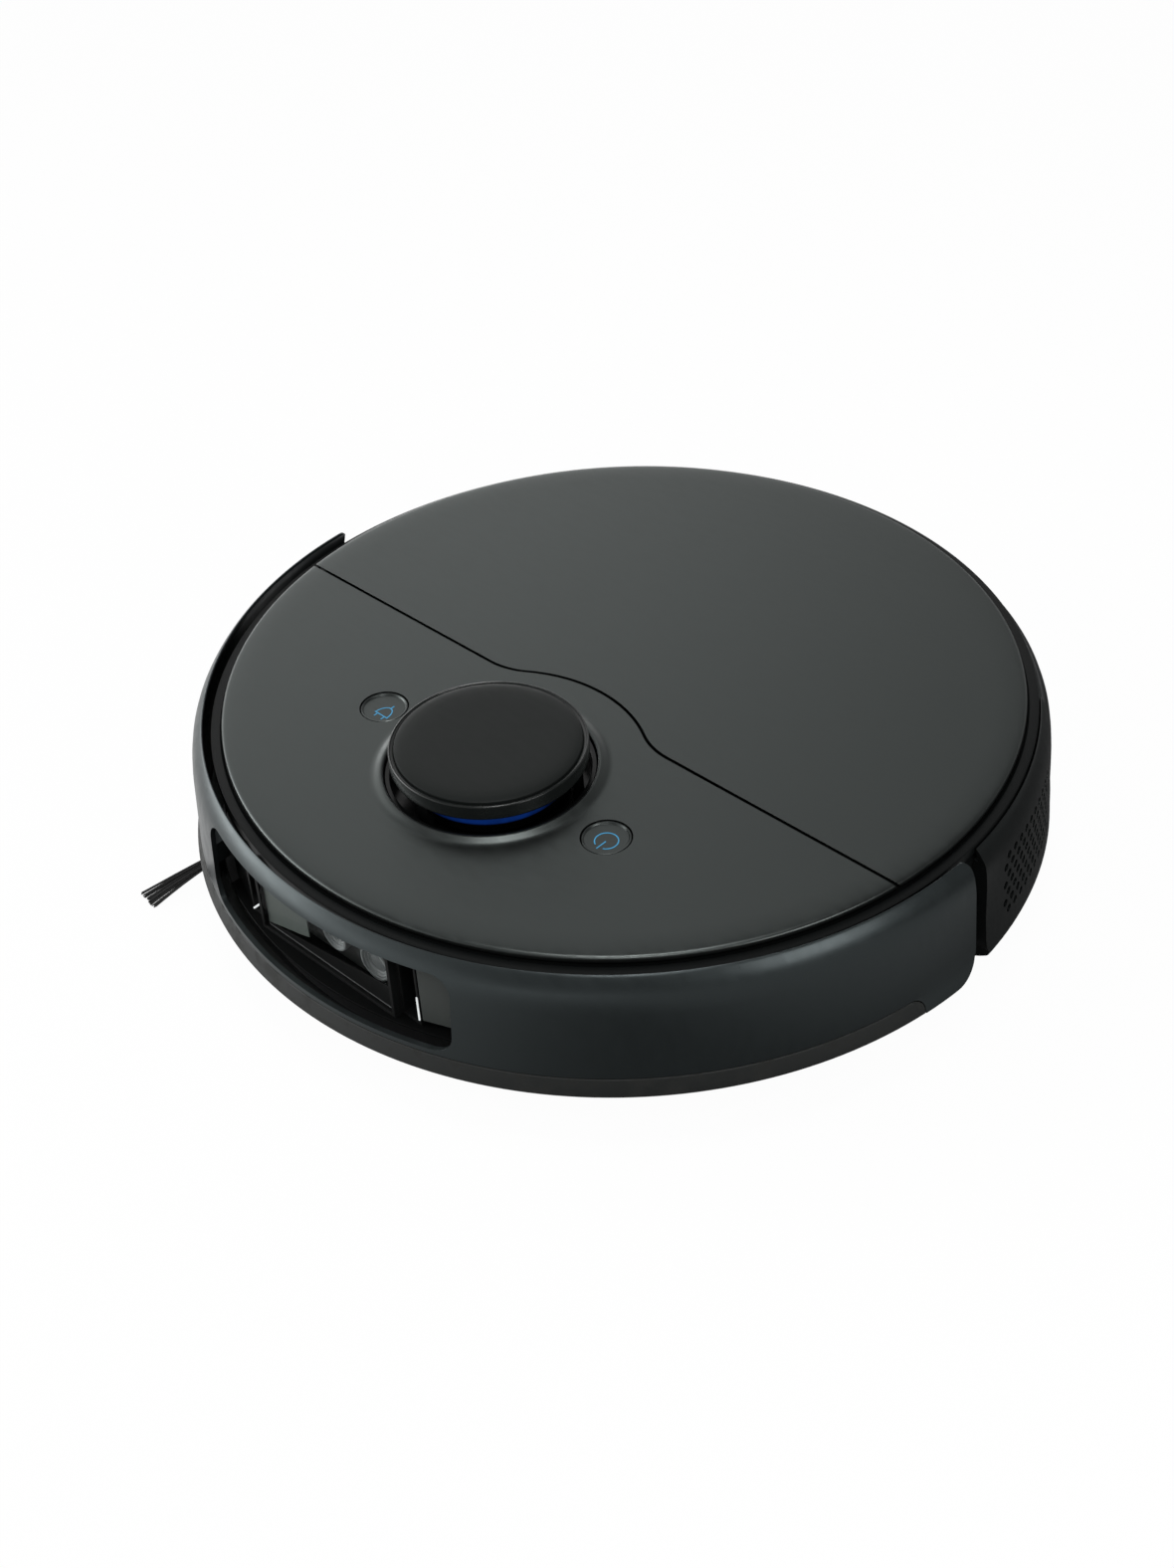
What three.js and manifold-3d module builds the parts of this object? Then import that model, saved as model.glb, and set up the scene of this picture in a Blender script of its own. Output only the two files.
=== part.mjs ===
// Robot vacuum cleaner, modelled as the separate pieces that it is assembled from.
//
// Frame: millimetres, +Z up, the floor is z = 0. The robot drives towards -Y, and the origin is on
// the floor under the centre of its round covers.

import * as THREE from "three";
import { mergeVertices } from "three/addons/utils/BufferGeometryUtils.js";
import Module from "manifold-3d";

const wasm = await Module();
wasm.setup();

// ---------------------------------------------------------------- driving dimensions

// Whole body
const COVER_R = 158; // radius of the two top covers
const COVER_TOP_Z = 74.6; // crown of the covers above the floor
const FLOOR_GAP = 10; // flat underside above the floor
const COVER_T = 2.6; // thickness of the covers
const WALL_T = 2.2; // thickness of moulded walls
const PAN_T = 3; // thickness of the chassis floor
const DECK_T = 3; // thickness of the inner deck

// Fits
const FIT = 0.3; // gap between pieces that are seated on each other
const RUN = 0.4; // gap round pieces that turn or slide
const SEAM = 0.5; // visible gap between the two covers

// Bumper
const SKIRT_R = COVER_R + 17; // widest radius, along the bumper's lower edge
const SKIRT_Z = 21.5; // lower edge of the bumper
const STRIP_H = 7.6; // height of the soft strip along the lower edge
const BUMPER_END_Y = 1; // the half ring stops just behind the centre line
const BUMPER_TRAVEL = 3.5;
const WINDOW_W = 131; // camera window in the bumper
const WINDOW_Z0 = 31.5;
const WINDOW_H = 35;
const WINDOW_CORNER_R = 8;

// Side shells and their exhaust grille
const SHELL_FRONT_Y = 12; // front edge of the side shells
const GRILLE_A0 = 9.45; // first hole, degrees round from +X
const GRILLE_STEP = 1.87; // degrees between the holes of a row
const GRILLE_COLUMNS = 10;
const GRILLE_ROWS = 7;
const GRILLE_ROW_H = 4.35; // between rows
const GRILLE_HOLE_R = 1.65;

// Seam between the fixed front cover and the hinged lid
const SEAM_Y = -26.5;
const SEAM_FILLET_R = 30;
const SEAM_RISE_R = 59.5; // the seam swings round the turret at this radius
const SEAM_SLOPE = 0.68; // undercut that lets the lid swing up past the front cover

// Lidar turret
const LIDAR_Y = -72.4;
const CAP_R = 37.9;
const CAP_GAP = 2.7; // opening round the cap
const CAP_TOP_Z = COVER_TOP_Z + 11.6;
const CAP_H = 7;
const LIDAR_HOLE_R = CAP_R + CAP_GAP; // hole in the front cover
const ROTOR_R = CAP_R - 7.9; // leaves room for the posts and the cap's wall
const PULLEY_R = ROTOR_R - 5.8; // belt pulley under the rotor
const MOTOR_PULLEY_R = 5;
const LIDAR_MOTOR = [-44, -106]; // centre of the turret's motor

// Buttons
const BUTTON_X = 59.8;
const BUTTON_Y = -72.2;
const BUTTON_R = 9.3;

// Drive wheels
const WHEEL_R = 31;
const TYRE_W = 17;
const WHEEL_X = COVER_R - 40.5; // middle of the tyre
const WELL_X0 = WHEEL_X - 26.5; // inner wall of the wheel wells
const ARM_PIVOT = [45, 34]; // y and z of the suspension pivot
const ARM_T = 14; // width of the gearbox arm
const TREAD_LUGS = 18;
const LUG_H = 1.6; // height of the tread lugs
const RIM_R = 23.4; // hub under the tyre

// Caster
const CASTER_Y = 40 - COVER_R;
const CASTER_WHEEL_R = 11.5;
const CASTER_TRAIL = 4;
const CASTER_BODY_R = 16.5;

// Main brush
const ROLLER_R = 18;
const ROLLER_Y = 2;
const ROLLER_Z = 19.6;
const ROLLER_X0 = 7 - WELL_X0;
const ROLLER_X1 = WELL_X0 - 27; // leaves room for the gearbox beside the bay
const FINS = 5;
const FIN_TWIST = 70; // degrees that the fins sweep from each end to the middle

// Side brush
const SIDE_BRUSH_R = COVER_R - 18; // its axis from the body's
const SIDE_BRUSH_A = 223.84 * (Math.PI / 180); // and its direction from +X
const SIDE_BRUSH = [SIDE_BRUSH_R * Math.cos(SIDE_BRUSH_A), SIDE_BRUSH_R * Math.sin(SIDE_BRUSH_A)];
const BRISTLE_R = 69; // from the hub's centre to the bristle tips
const BRISTLE_ANGLE = -100; // direction of the first tuft, degrees

// Battery, dust box, fan and water tank
const BATTERY = { w: 100, d: 44, h: 32, y: -60 };
const TANK_Y = 100; // the water tank is everything behind this plane
const DUST_BOX = { w: 2 * (WELL_X0 - 23), d: 63, y: 65.5 };
const FAN = { x: WELL_X0 + 9, y: 76.7, r: 20 };

// ---------------------------------------------------------------- levels that follow

const COVER_UNDER_Z = COVER_TOP_Z - COVER_T;
const RIB_H = 2.7; // ribs that stand the covers on the deck
const DECK_TOP_Z = COVER_UNDER_Z - RIB_H - FIT;
const DECK_Z = DECK_TOP_Z - DECK_T;
const PAN_TOP_Z = FLOOR_GAP + PAN_T;
const RING_R = COVER_R + 4.6; // dark ring round the covers
const RING_TOP_Z = COVER_TOP_Z - 4.8;
const PAN_WALL_R = RING_R - 1.6;
const PAN_WALL_Z = 34;
const DECK_WALL_R = RING_R - 1.1;

// ---------------------------------------------------------------- solids

const FULL = 40; // facets round the large circles
const MID = 20;
const SMALL = 12;
const LIDAR_FACETS = 28;
const AROUND = 2 * Math.PI;
const rad = THREE.MathUtils.degToRad;

/** Turns a closed three.js geometry into a solid that booleans can use. */
function solidOf(geometry) {
  const bare = geometry.clone();
  for (const name of Object.keys(bare.attributes)) {
    if (name !== "position") bare.deleteAttribute(name);
  }
  const merged = mergeVertices(bare, 1e-4);
  const index = merged.getIndex().array;
  const points = merged.getAttribute("position").array;
  const triangles = [];
  let volume = 0;
  const [a, b, c] = [new THREE.Vector3(), new THREE.Vector3(), new THREE.Vector3()];
  for (let i = 0; i < index.length; i += 3) {
    const [p, q, r] = [index[i], index[i + 1], index[i + 2]];
    if (p === q || q === r || r === p) continue;
    triangles.push(p, q, r);
    a.fromArray(points, 3 * p);
    b.fromArray(points, 3 * q);
    c.fromArray(points, 3 * r);
    volume += a.dot(b.cross(c));
  }
  if (volume < 0) triangles.reverse();
  const mesh = new wasm.Mesh({
    numProp: 3,
    vertProperties: Float32Array.from(points),
    triVerts: Uint32Array.from(triangles),
  });
  return new wasm.Manifold(mesh);
}

/** Turns a solid back into a three.js geometry, without the needless points that cuts leave. */
function geometryOf(solid) {
  const mesh = solid.simplify(0.012).getMesh();
  const geometry = new THREE.BufferGeometry();
  geometry.setAttribute("position", new THREE.BufferAttribute(mesh.vertProperties, 3));
  geometry.setIndex(new THREE.BufferAttribute(mesh.triVerts, 1));
  geometry.computeVertexNormals();
  return geometry;
}

const join = (first, ...others) => others.reduce((sum, next) => sum.add(next), first);
const cut = (first, ...others) => others.reduce((rest, next) => rest.subtract(next), first);
const common = (first, second) => first.intersect(second);

/** A body of revolution about a vertical axis. The profile is a list of [radius, z]. */
function revolve(profile, { x = 0, y = 0, facets = FULL } = {}) {
  const points = profile.map(([r, z]) => new THREE.Vector2(r, z));
  const [first, last] = [points[0], points[points.length - 1]];
  if (first.x !== 0 || last.x !== 0) points.push(first.clone());
  const lathe = new THREE.LatheGeometry(points, facets);
  return solidOf(lathe.rotateX(Math.PI / 2).translate(x, y, 0));
}

/** A flat outline, a list of [x, y] or a THREE.Shape, raised from z0 to z1. */
function prism(outline, z0, z1, curveSegments = 12) {
  const shape = Array.isArray(outline)
    ? new THREE.Shape(outline.map(([x, y]) => new THREE.Vector2(x, y)))
    : outline;
  const options = { depth: z1 - z0, bevelEnabled: false, curveSegments };
  return solidOf(new THREE.ExtrudeGeometry(shape, options).translate(0, 0, z0));
}

/** A box from its low corner to its high corner. */
function box(x0, x1, y0, y1, z0, z1) {
  const geometry = new THREE.BoxGeometry(x1 - x0, y1 - y0, z1 - z0);
  return solidOf(geometry.translate((x0 + x1) / 2, (y0 + y1) / 2, (z0 + z1) / 2));
}

/** A cylinder whose axis runs along "x", "y" or "z" through the centre given. */
function rod(axis, radius, from, to, [u, v] = [0, 0], facets = SMALL) {
  const geometry = new THREE.CylinderGeometry(radius, radius, to - from, facets);
  geometry.translate(0, (from + to) / 2, 0);
  if (axis === "x") geometry.rotateZ(-Math.PI / 2).translate(0, u, v);
  if (axis === "y") geometry.translate(u, 0, v);
  if (axis === "z") geometry.rotateX(Math.PI / 2).translate(u, v, 0);
  return solidOf(geometry);
}

/** A rectangle outline with round corners. */
function roundedRectangle(width, height, radius, x = 0, y = 0) {
  const shape = new THREE.Shape();
  const [w, h] = [width / 2 - radius, height / 2 - radius];
  shape.absarc(x + w, y + h, radius, 0, Math.PI / 2, false);
  shape.absarc(x - w, y + h, radius, Math.PI / 2, Math.PI, false);
  shape.absarc(x - w, y - h, radius, Math.PI, 1.5 * Math.PI, false);
  shape.absarc(x + w, y - h, radius, 1.5 * Math.PI, AROUND, false);
  return shape;
}

/** Turns a prism that was drawn in X and Z so that its height runs along -Y. */
const standing = (solid) => solid.rotate([90, 0, 0]);

/** Turns a prism that was drawn in Y and Z so that its height runs along +X. */
const sideways = (solid) => solid.rotate([90, 0, 90]);

/** Moves a solid out to a radius and turns it round the vertical axis. */
const around = (solid, degrees, x = 0, y = 0) => solid.rotate([0, 0, degrees]).translate([x, y, 0]);

/** A coil spring about the z axis, from z0 to z1. */
function coil(radius, wire, z0, z1, turns) {
  class Helix extends THREE.Curve {
    getPoint(t, target = new THREE.Vector3()) {
      const angle = AROUND * turns * t;
      const z = z0 + wire + (z1 - z0 - 2 * wire) * t;
      return target.set(radius * Math.cos(angle), radius * Math.sin(angle), z);
    }
  }
  const section = new THREE.Shape();
  section.absarc(0, 0, wire, 0, AROUND, false);
  const options = { extrudePath: new Helix(), steps: turns * 7, curveSegments: 2, bevelEnabled: false };
  return solidOf(new THREE.ExtrudeGeometry(section, options));
}

// ---------------------------------------------------------------- materials

const finish = (color, roughness, metalness = 0) =>
  new THREE.MeshStandardMaterial({ color, roughness, metalness });

const SATIN_COVER = finish(0x4a4d4c, 0.42, 0.35);
const BUMPER_BLACK = finish(0x1f2324, 0.34);
const SHELL_BLACK = finish(0x1d2020, 0.4);
const MATTE_BLACK = finish(0x121313, 0.7);
const CAP_BLACK = finish(0x262928, 0.32);
const DARK_GREY = finish(0x2c2e2f, 0.6);
const MID_GREY = finish(0x5a5d5f, 0.6);
const RUBBER = finish(0x18191a, 0.85);
const STEEL = finish(0xb9bcc0, 0.28, 1);
const COPPER = finish(0xc9a26a, 0.3, 1);
const BOARD_GREEN = finish(0x1f5a3a, 0.55);
const CELL_BLUE = finish(0x27445e, 0.5);
const SMOKED_GLASS = finish(0x0c0f12, 0.08);
const LENS_GLASS = finish(0x3a4048, 0.05);
const FILTER_WHITE = finish(0xe4e2da, 0.9);
const BRISTLE_BLACK = finish(0x101112, 0.8);
const ICON_BUTTON = finish(0x474a49, 0.42, 0.3);
const CLEAR_SMOKE = finish(0x34383b, 0.2);

const robot = new THREE.Group();
robot.name = "robot_vacuum";

/** Adds one piece to the robot, or to a group that places it. */
function add(name, solid, material, parent = robot) {
  const mesh = new THREE.Mesh(geometryOf(solid), material);
  mesh.name = name;
  parent.add(mesh);
  return mesh;
}

/** A group that stands at a place in the robot. */
function placed(x, y, z, parent = robot) {
  const group = new THREE.Group();
  group.position.set(x, y, z);
  parent.add(group);
  return group;
}

// ---------------------------------------------------------------- outer profiles

/** Outside of the bumper, from its lower edge up to its rounded shoulder. */
const BUMPER_OUTER = [
  [SKIRT_R, SKIRT_Z],
  [SKIRT_R - 1.7, SKIRT_Z + STRIP_H],
  [SKIRT_R - 3.7, COVER_TOP_Z - 15],
  [SKIRT_R - 5, COVER_TOP_Z - 8.6],
  [SKIRT_R - 7, COVER_TOP_Z - 3.9],
  [SKIRT_R - 9.3, COVER_TOP_Z - 1.7],
];

/** Inside of the bumper, from its slim upper lip down. */
const BUMPER_INNER = [
  [SKIRT_R - 9.7, COVER_TOP_Z - 3.2],
  [SKIRT_R - 7.8, COVER_TOP_Z - 5.6],
  [SKIRT_R - 7, COVER_TOP_Z - 9],
  [SKIRT_R - 5.9, COVER_TOP_Z - 15],
  [SKIRT_R - WALL_T, SKIRT_Z],
];

/** Outside of the side shells and the tank, from the underside up to the shoulder at the ring. */
const SHELL_LOW_Z = FLOOR_GAP + 2.2;
const BODY_OUTER = [
  [RING_R + 0.4, SHELL_LOW_Z],
  [RING_R + 6.9, FLOOR_GAP + 15],
  [RING_R + 7.9, FLOOR_GAP + 20],
  [RING_R + 6.7, COVER_TOP_Z - 28],
  [RING_R + 4.9, COVER_TOP_Z - 14],
  [RING_R + 2.5, COVER_TOP_Z - 8.6],
  [RING_R + 0.7, COVER_TOP_Z - 6],
];
const BODY_INNER = [
  [RING_R + 0.4, DECK_Z + 0.4],
  [RING_R + 2.7, COVER_TOP_Z - 14.6],
  [RING_R + 4.5, COVER_TOP_Z - 28],
  [RING_R + 5.6, FLOOR_GAP + 20],
  [RING_R + 4.8, FLOOR_GAP + 16],
  [PAN_WALL_R + FIT, FLOOR_GAP + 7],
  [PAN_WALL_R + FIT, SHELL_LOW_Z],
];

/** The two covers together: a shallow dish with a rolled edge. */
const COVER_PROFILE = [
  [0, COVER_UNDER_Z],
  [COVER_R - 10, COVER_UNDER_Z - 0.2],
  [COVER_R - 0.5, COVER_TOP_Z - 3.7],
  [COVER_R, COVER_TOP_Z - 3],
  [COVER_R - 0.8, COVER_TOP_Z - 2.2],
  [COVER_R - 3.4, COVER_TOP_Z - 1.2],
  [COVER_R - 9, COVER_TOP_Z - 0.4],
  [COVER_R - 22, COVER_TOP_Z],
  [0, COVER_TOP_Z],
];

/** Plan of everything in front of the seam, at the height of the covers' top. */
function frontPlan() {
  const far = 2 * SKIRT_R;
  const centreY = SEAM_Y + SEAM_FILLET_R;
  const reach = SEAM_RISE_R + SEAM_FILLET_R;
  const centreX = Math.sqrt(reach ** 2 - (centreY - LIDAR_Y) ** 2);
  const lean = Math.atan2(centreY - LIDAR_Y, centreX);
  const shape = new THREE.Shape();
  shape.moveTo(-far, -far);
  shape.lineTo(far, -far);
  shape.lineTo(far, SEAM_Y);
  shape.absarc(centreX, centreY, SEAM_FILLET_R, -Math.PI / 2, lean - Math.PI, true);
  shape.absarc(0, LIDAR_Y, SEAM_RISE_R, lean, Math.PI - lean, false);
  shape.absarc(-centreX, centreY, SEAM_FILLET_R, -lean, -Math.PI / 2, true);
  shape.lineTo(-far, SEAM_Y);
  return shape;
}

/** The space in front of the seam, undercut so that its face slopes back under the lid. */
function frontSpace(shift) {
  const low = COVER_UNDER_Z - 6;
  const block = prism(frontPlan(), low, COVER_TOP_Z + 1, 6);
  return block.warp((point) => {
    point[1] += (COVER_TOP_Z - point[2]) * SEAM_SLOPE + shift;
  });
}

// ---------------------------------------------------------------- lid hinge

const HINGE = { y: SEAM_Y - 11.5, z: COVER_TOP_Z - 7.6 };
const HINGE_PIN_R = 1.5;
const NECK = { x0: 59.5, x1: 67.5, inner: 15.2, outer: 18.6, from: -70, to: 18 };
const POCKET = { x0: 57.5, x1: 69.5, y0: HINGE.y - 5, y1: HINGE.y + 23.5, z0: HINGE.z - 18.9 };

/** One gooseneck: a ring round the pin, a spoke, and an arc that hooks round the cover's edge. */
function gooseneck() {
  const arc = new THREE.Shape();
  arc.absarc(0, 0, NECK.outer, rad(NECK.from), rad(NECK.to), false);
  arc.absarc(0, 0, NECK.inner, rad(NECK.to), rad(NECK.from), true);
  const spokeAngle = rad(NECK.from + 7);
  const spoke = new THREE.Shape();
  const [dx, dy] = [Math.cos(spokeAngle), Math.sin(spokeAngle)];
  const half = 2;
  spoke.moveTo(-half * dy * -1, -half * dx);
  spoke.lineTo(NECK.outer * dx - half * -dy, NECK.outer * dy - half * dx);
  spoke.lineTo(NECK.outer * dx + half * -dy, NECK.outer * dy + half * dx);
  spoke.lineTo(half * -dy, half * dx);
  const width = NECK.x1 - NECK.x0;
  const eye = rod("z", 3.6, 0, width);
  const foot = prism([[14.4, 4.2], [NECK.outer - 0.6, 4.2], [NECK.outer + 3, 6.4], [14.8, 6.4]], 0, width);
  const flat = join(prism(arc, 0, width, 4), prism(spoke, 0, width), eye, foot);
  const bored = cut(flat, rod("z", HINGE_PIN_R + FIT, -1, width + 1));
  return sideways(bored).translate([NECK.x0, HINGE.y, HINGE.z]);
}

// ---------------------------------------------------------------- chassis

const WELL = { x0: WELL_X0, x1: WHEEL_X + TYRE_W / 2 + 4, y0: -WHEEL_R - 4, y1: ARM_PIVOT[0] + 8.5 };
const BAY = { x0: ROLLER_X0 - 2, x1: ROLLER_X1 + 2, y0: ROLLER_Y - 24, y1: ROLLER_Y + 24, roof: 44 };
const THROAT = { halfW: ROLLER_X1 - 14, z0: 26, z1: 42 };
const CASTER_BORE_R = CASTER_BODY_R + 0.6;
const CASTER_TOP_Z = 27;
const CONTACT = { x: 36, y: 36 - COVER_R, w: 18, d: 7, t: 1.5 };
const CLIFF = { r0: COVER_R - 13, r1: COVER_R - 6, from: -76, to: -52, t: 1.5 };
const PILLARS = [[64, 52 - COVER_R], [WELL_X0 - 15, 44]];
const BOARD_Z = 49;
const FLANGE_Z = 15.4;
const FLANGE_R = SKIRT_R - 7;
const BOARD_X = Math.min(POCKET.x0 - 3.5, BAY.x1 - 12); // half the width of the main board, between the hinge pockets

/** A curved strip between two radii and two angles, from z0 to z1. */
function strip(r0, r1, from, to, z0, z1, curveSegments = 8) {
  const shape = new THREE.Shape();
  shape.absarc(0, 0, r1, rad(from), rad(to), false);
  shape.absarc(0, 0, r0, rad(to), rad(from), true);
  return prism(shape, z0, z1, curveSegments);
}

function chassisBase() {
  const pan = revolve([
    [0, FLOOR_GAP],
    [PAN_WALL_R - 5, FLOOR_GAP],
    [PAN_WALL_R, FLOOR_GAP + 5],
    [PAN_WALL_R, PAN_WALL_Z],
    [PAN_WALL_R - WALL_T, PAN_WALL_Z],
    [PAN_WALL_R - WALL_T, FLOOR_GAP + 7],
    [PAN_WALL_R - 7, PAN_TOP_Z],
    [0, PAN_TOP_Z],
  ]);
  const roof = DECK_Z - FIT;
  // Flange that closes the gap under the bumper's edge
  const flange = revolve([
    [PAN_WALL_R - 1, FLANGE_Z],
    [FLANGE_R - 0.6, FLANGE_Z],
    [FLANGE_R, FLANGE_Z + 0.6],
    [FLANGE_R, FLANGE_Z + 2],
    [PAN_WALL_R - 1, FLANGE_Z + 2],
  ]);
  const added = [common(flange, box(-SKIRT_R, SKIRT_R, -SKIRT_R, SHELL_FRONT_Y - 1.5, 0, COVER_TOP_Z))];
  const removed = [];
  for (const side of [1, -1]) {
    const [a, b] = side > 0 ? [WELL.x0, WELL.x1] : [-WELL.x1, -WELL.x0];
    added.push(box(a - 2, b + 2, WELL.y0 - 2, WELL.y1 + 2, FLOOR_GAP, roof));
    removed.push(box(a, b, WELL.y0, WELL.y1, FLOOR_GAP - 1, roof + 1));
    const hole = side > 0 ? [WELL.x0 - 3, WELL.x0 + 1] : [-WELL.x0 - 1, -WELL.x0 + 3];
    removed.push(rod("x", 3 + FIT, hole[0], hole[1], ARM_PIVOT));
    for (const [x, y] of PILLARS) added.push(rod("z", 4, FLOOR_GAP, roof, [side * x, y], 12));
  }
  // Brush bay with its suction throat towards the dust box
  const boxFront = DUST_BOX.y - DUST_BOX.d / 2;
  added.push(box(BAY.x0 - 2, BAY.x1 + 2, BAY.y0 - 2, BAY.y1 + 2, FLOOR_GAP, BAY.roof + 2));
  added.push(box(-THROAT.halfW - 2, THROAT.halfW + 2, BAY.y1, boxFront - FIT, THROAT.z0 - 2, THROAT.z1 + 2));
  removed.push(box(BAY.x0, BAY.x1, BAY.y0, BAY.y1, FLOOR_GAP - 1, BAY.roof));
  removed.push(box(-THROAT.halfW, THROAT.halfW, BAY.y1 - 1, boxFront + 1, THROAT.z0, THROAT.z1));
  removed.push(rod("x", 5, BAY.x1 - 1, BAY.x1 + 3, [ROLLER_Y, ROLLER_Z]));
  for (const [x, y] of [[BOARD_X - 6, -18], [BOARD_X - 6, 22], [6 - BOARD_X, -18], [6 - BOARD_X, 22]]) {
    added.push(rod("z", 2.6, BAY.roof + 1, BOARD_Z - FIT, [x, y], 10));
  }
  // Battery bay, open below where its cover goes
  const [bw, bd] = [BATTERY.w / 2 + FIT, BATTERY.d / 2 + FIT];
  added.push(box(-bw - 2, bw + 2, BATTERY.y - bd - 2, BATTERY.y + bd + 2, FLOOR_GAP, 30));
  removed.push(box(-bw, bw, BATTERY.y - bd, BATTERY.y + bd, FLOOR_GAP - 1, 31));
  const [cw, cd] = [bw + 6, bd + 4];
  removed.push(box(-cw, cw, BATTERY.y - cd, BATTERY.y + cd, FLOOR_GAP - 1, FLOOR_GAP + 1.7 + FIT));
  // Caster socket
  added.push(rod("z", CASTER_BORE_R + 2.5, FLOOR_GAP, CASTER_TOP_Z + 7, [0, CASTER_Y], MID));
  removed.push(rod("z", CASTER_BORE_R, FLOOR_GAP - 1, CASTER_TOP_Z + 0.6, [0, CASTER_Y], MID));
  removed.push(rod("z", 3.5 + RUN, CASTER_TOP_Z, CASTER_TOP_Z + 5.4, [0, CASTER_Y]));
  // Side brush shaft
  removed.push(rod("z", 4.5, FLOOR_GAP - 1, PAN_TOP_Z + 1, SIDE_BRUSH));
  // Recesses of the contacts and the cliff windows
  for (const side of [1, -1]) {
    const [w, d] = [CONTACT.w / 2 + FIT, CONTACT.d / 2 + FIT];
    const x = side * CONTACT.x;
    removed.push(box(x - w, x + w, CONTACT.y - d, CONTACT.y + d, FLOOR_GAP - 1, FLOOR_GAP + CONTACT.t + FIT));
  }
  const edge = 0.25;
  for (const [from, to] of [[CLIFF.from, CLIFF.to], [-180 - CLIFF.to, -180 - CLIFF.from]]) {
    const hole = [CLIFF.r0 - FIT, CLIFF.r1 + FIT, from - edge, to + edge];
    removed.push(strip(...hole, FLOOR_GAP - 1, FLOOR_GAP + CLIFF.t + FIT));
  }
  // Low stretch of the rim under the camera's housing
  removed.push(box(-BAY_HALF_W - FIT, BAY_HALF_W + FIT, -SKIRT_R, CAMERA.back + 21, CAMERA.z0 - FIT, PAN_WALL_Z + 1));
  // The floor stops at the tank bay, behind a low wall
  const bayWall = box(-SKIRT_R, SKIRT_R, TANK_Y - WALL_T, TANK_Y, FLOOR_GAP, 58);
  added.push(common(bayWall, rod("z", PAN_WALL_R - 1, 0, COVER_TOP_Z, [0, 0], FULL)));
  removed.push(box(-SKIRT_R, SKIRT_R, TANK_Y, SKIRT_R, 0, COVER_TOP_Z));
  return cut(join(pan, ...added), ...removed);
}

// ---------------------------------------------------------------- deck

const TAB_ANGLES = [-20, -60, -120, -160];
const TAB = { w: 12, z0: PAN_WALL_Z + RUN, t: 2 };
const BAY_HALF_W = 47; // sensor housing behind the window

function deckFrame() {
  const wallIn = DECK_WALL_R - WALL_T;
  const bell = revolve([
    [0, DECK_Z],
    [wallIn, DECK_Z],
    [wallIn, PAN_WALL_Z + FIT],
    [DECK_WALL_R, PAN_WALL_Z + FIT],
    [DECK_WALL_R, DECK_Z - 1.1],
    [RING_R, DECK_Z],
    [RING_R, RING_TOP_Z],
    [COVER_R + 0.6, RING_TOP_Z],
    [COVER_R, DECK_TOP_Z],
    [0, DECK_TOP_Z],
  ]);
  const added = [];
  const removed = [];
  for (const side of [1, -1]) {
    const [a, b] = side > 0 ? [POCKET.x0, POCKET.x1] : [-POCKET.x1, -POCKET.x0];
    added.push(box(a - 2, b + 2, POCKET.y0 - 2, POCKET.y1 + 2, POCKET.z0 - 1.6, DECK_Z + 1));
    removed.push(box(a, b, POCKET.y0, POCKET.y1, POCKET.z0, DECK_TOP_Z + 1));
    removed.push(rod("x", HINGE_PIN_R + FIT, a - 3, b + 3, [HINGE.y, HINGE.z]));
    removed.push(rod("z", 3.2, DECK_Z - 1, DECK_TOP_Z + 1, [side * BUTTON_X, BUTTON_Y]));
    added.push(rod("z", 2.6, DECK_Z - 6, DECK_Z + 1, [side * SPRING.x, SPRING.y], 12));
  }
  removed.push(rod("z", LIDAR_HOLE_R, DECK_Z - 1, DECK_TOP_Z + 1, [0, LIDAR_Y], LIDAR_FACETS));
  const [w, d] = [DUST_BOX.w / 2 + RUN, DUST_BOX.d / 2 + RUN];
  removed.push(box(-w, w, DUST_BOX.y - d, DUST_BOX.y + d, DECK_Z - 1, DECK_TOP_Z + 1));
  removed.push(box(-BAY_HALF_W - FIT, BAY_HALF_W + FIT, -SKIRT_R, CAMERA.back + 21, PAN_WALL_Z - 1, DECK_Z));
  removed.push(box(-SKIRT_R, SKIRT_R, 30, SKIRT_R, PAN_WALL_Z - 1, DECK_Z));
  for (const side of [1, -1]) {
    const { x, z, back } = BUMPER_SPRING;
    added.push(box(side * x - 6.5, side * x + 6.5, -DECK_WALL_R + 17, back + 1.6, z - 6.5, z + 6.5));
    removed.push(box(side * x - 4.9, side * x + 4.9, -SKIRT_R, back, z - 4.9, z + 4.9));
  }
  const notch = box(DECK_WALL_R - 6, RING_R + 1, -TAB.w / 2 - 4.5, TAB.w / 2 + 4.5, 30, TAB.z0 + TAB.t + 0.8);
  for (const angle of TAB_ANGLES) removed.push(around(notch, angle));
  return cut(join(bell, ...added), ...removed);
}

// ---------------------------------------------------------------- covers

const STAND_RIB = [[COVER_R - 10, COVER_UNDER_Z - RIB_H], [COVER_R - 8, COVER_UNDER_Z - RIB_H], [COVER_R - 8, COVER_UNDER_Z], [COVER_R - 10, COVER_UNDER_Z]];

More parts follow.
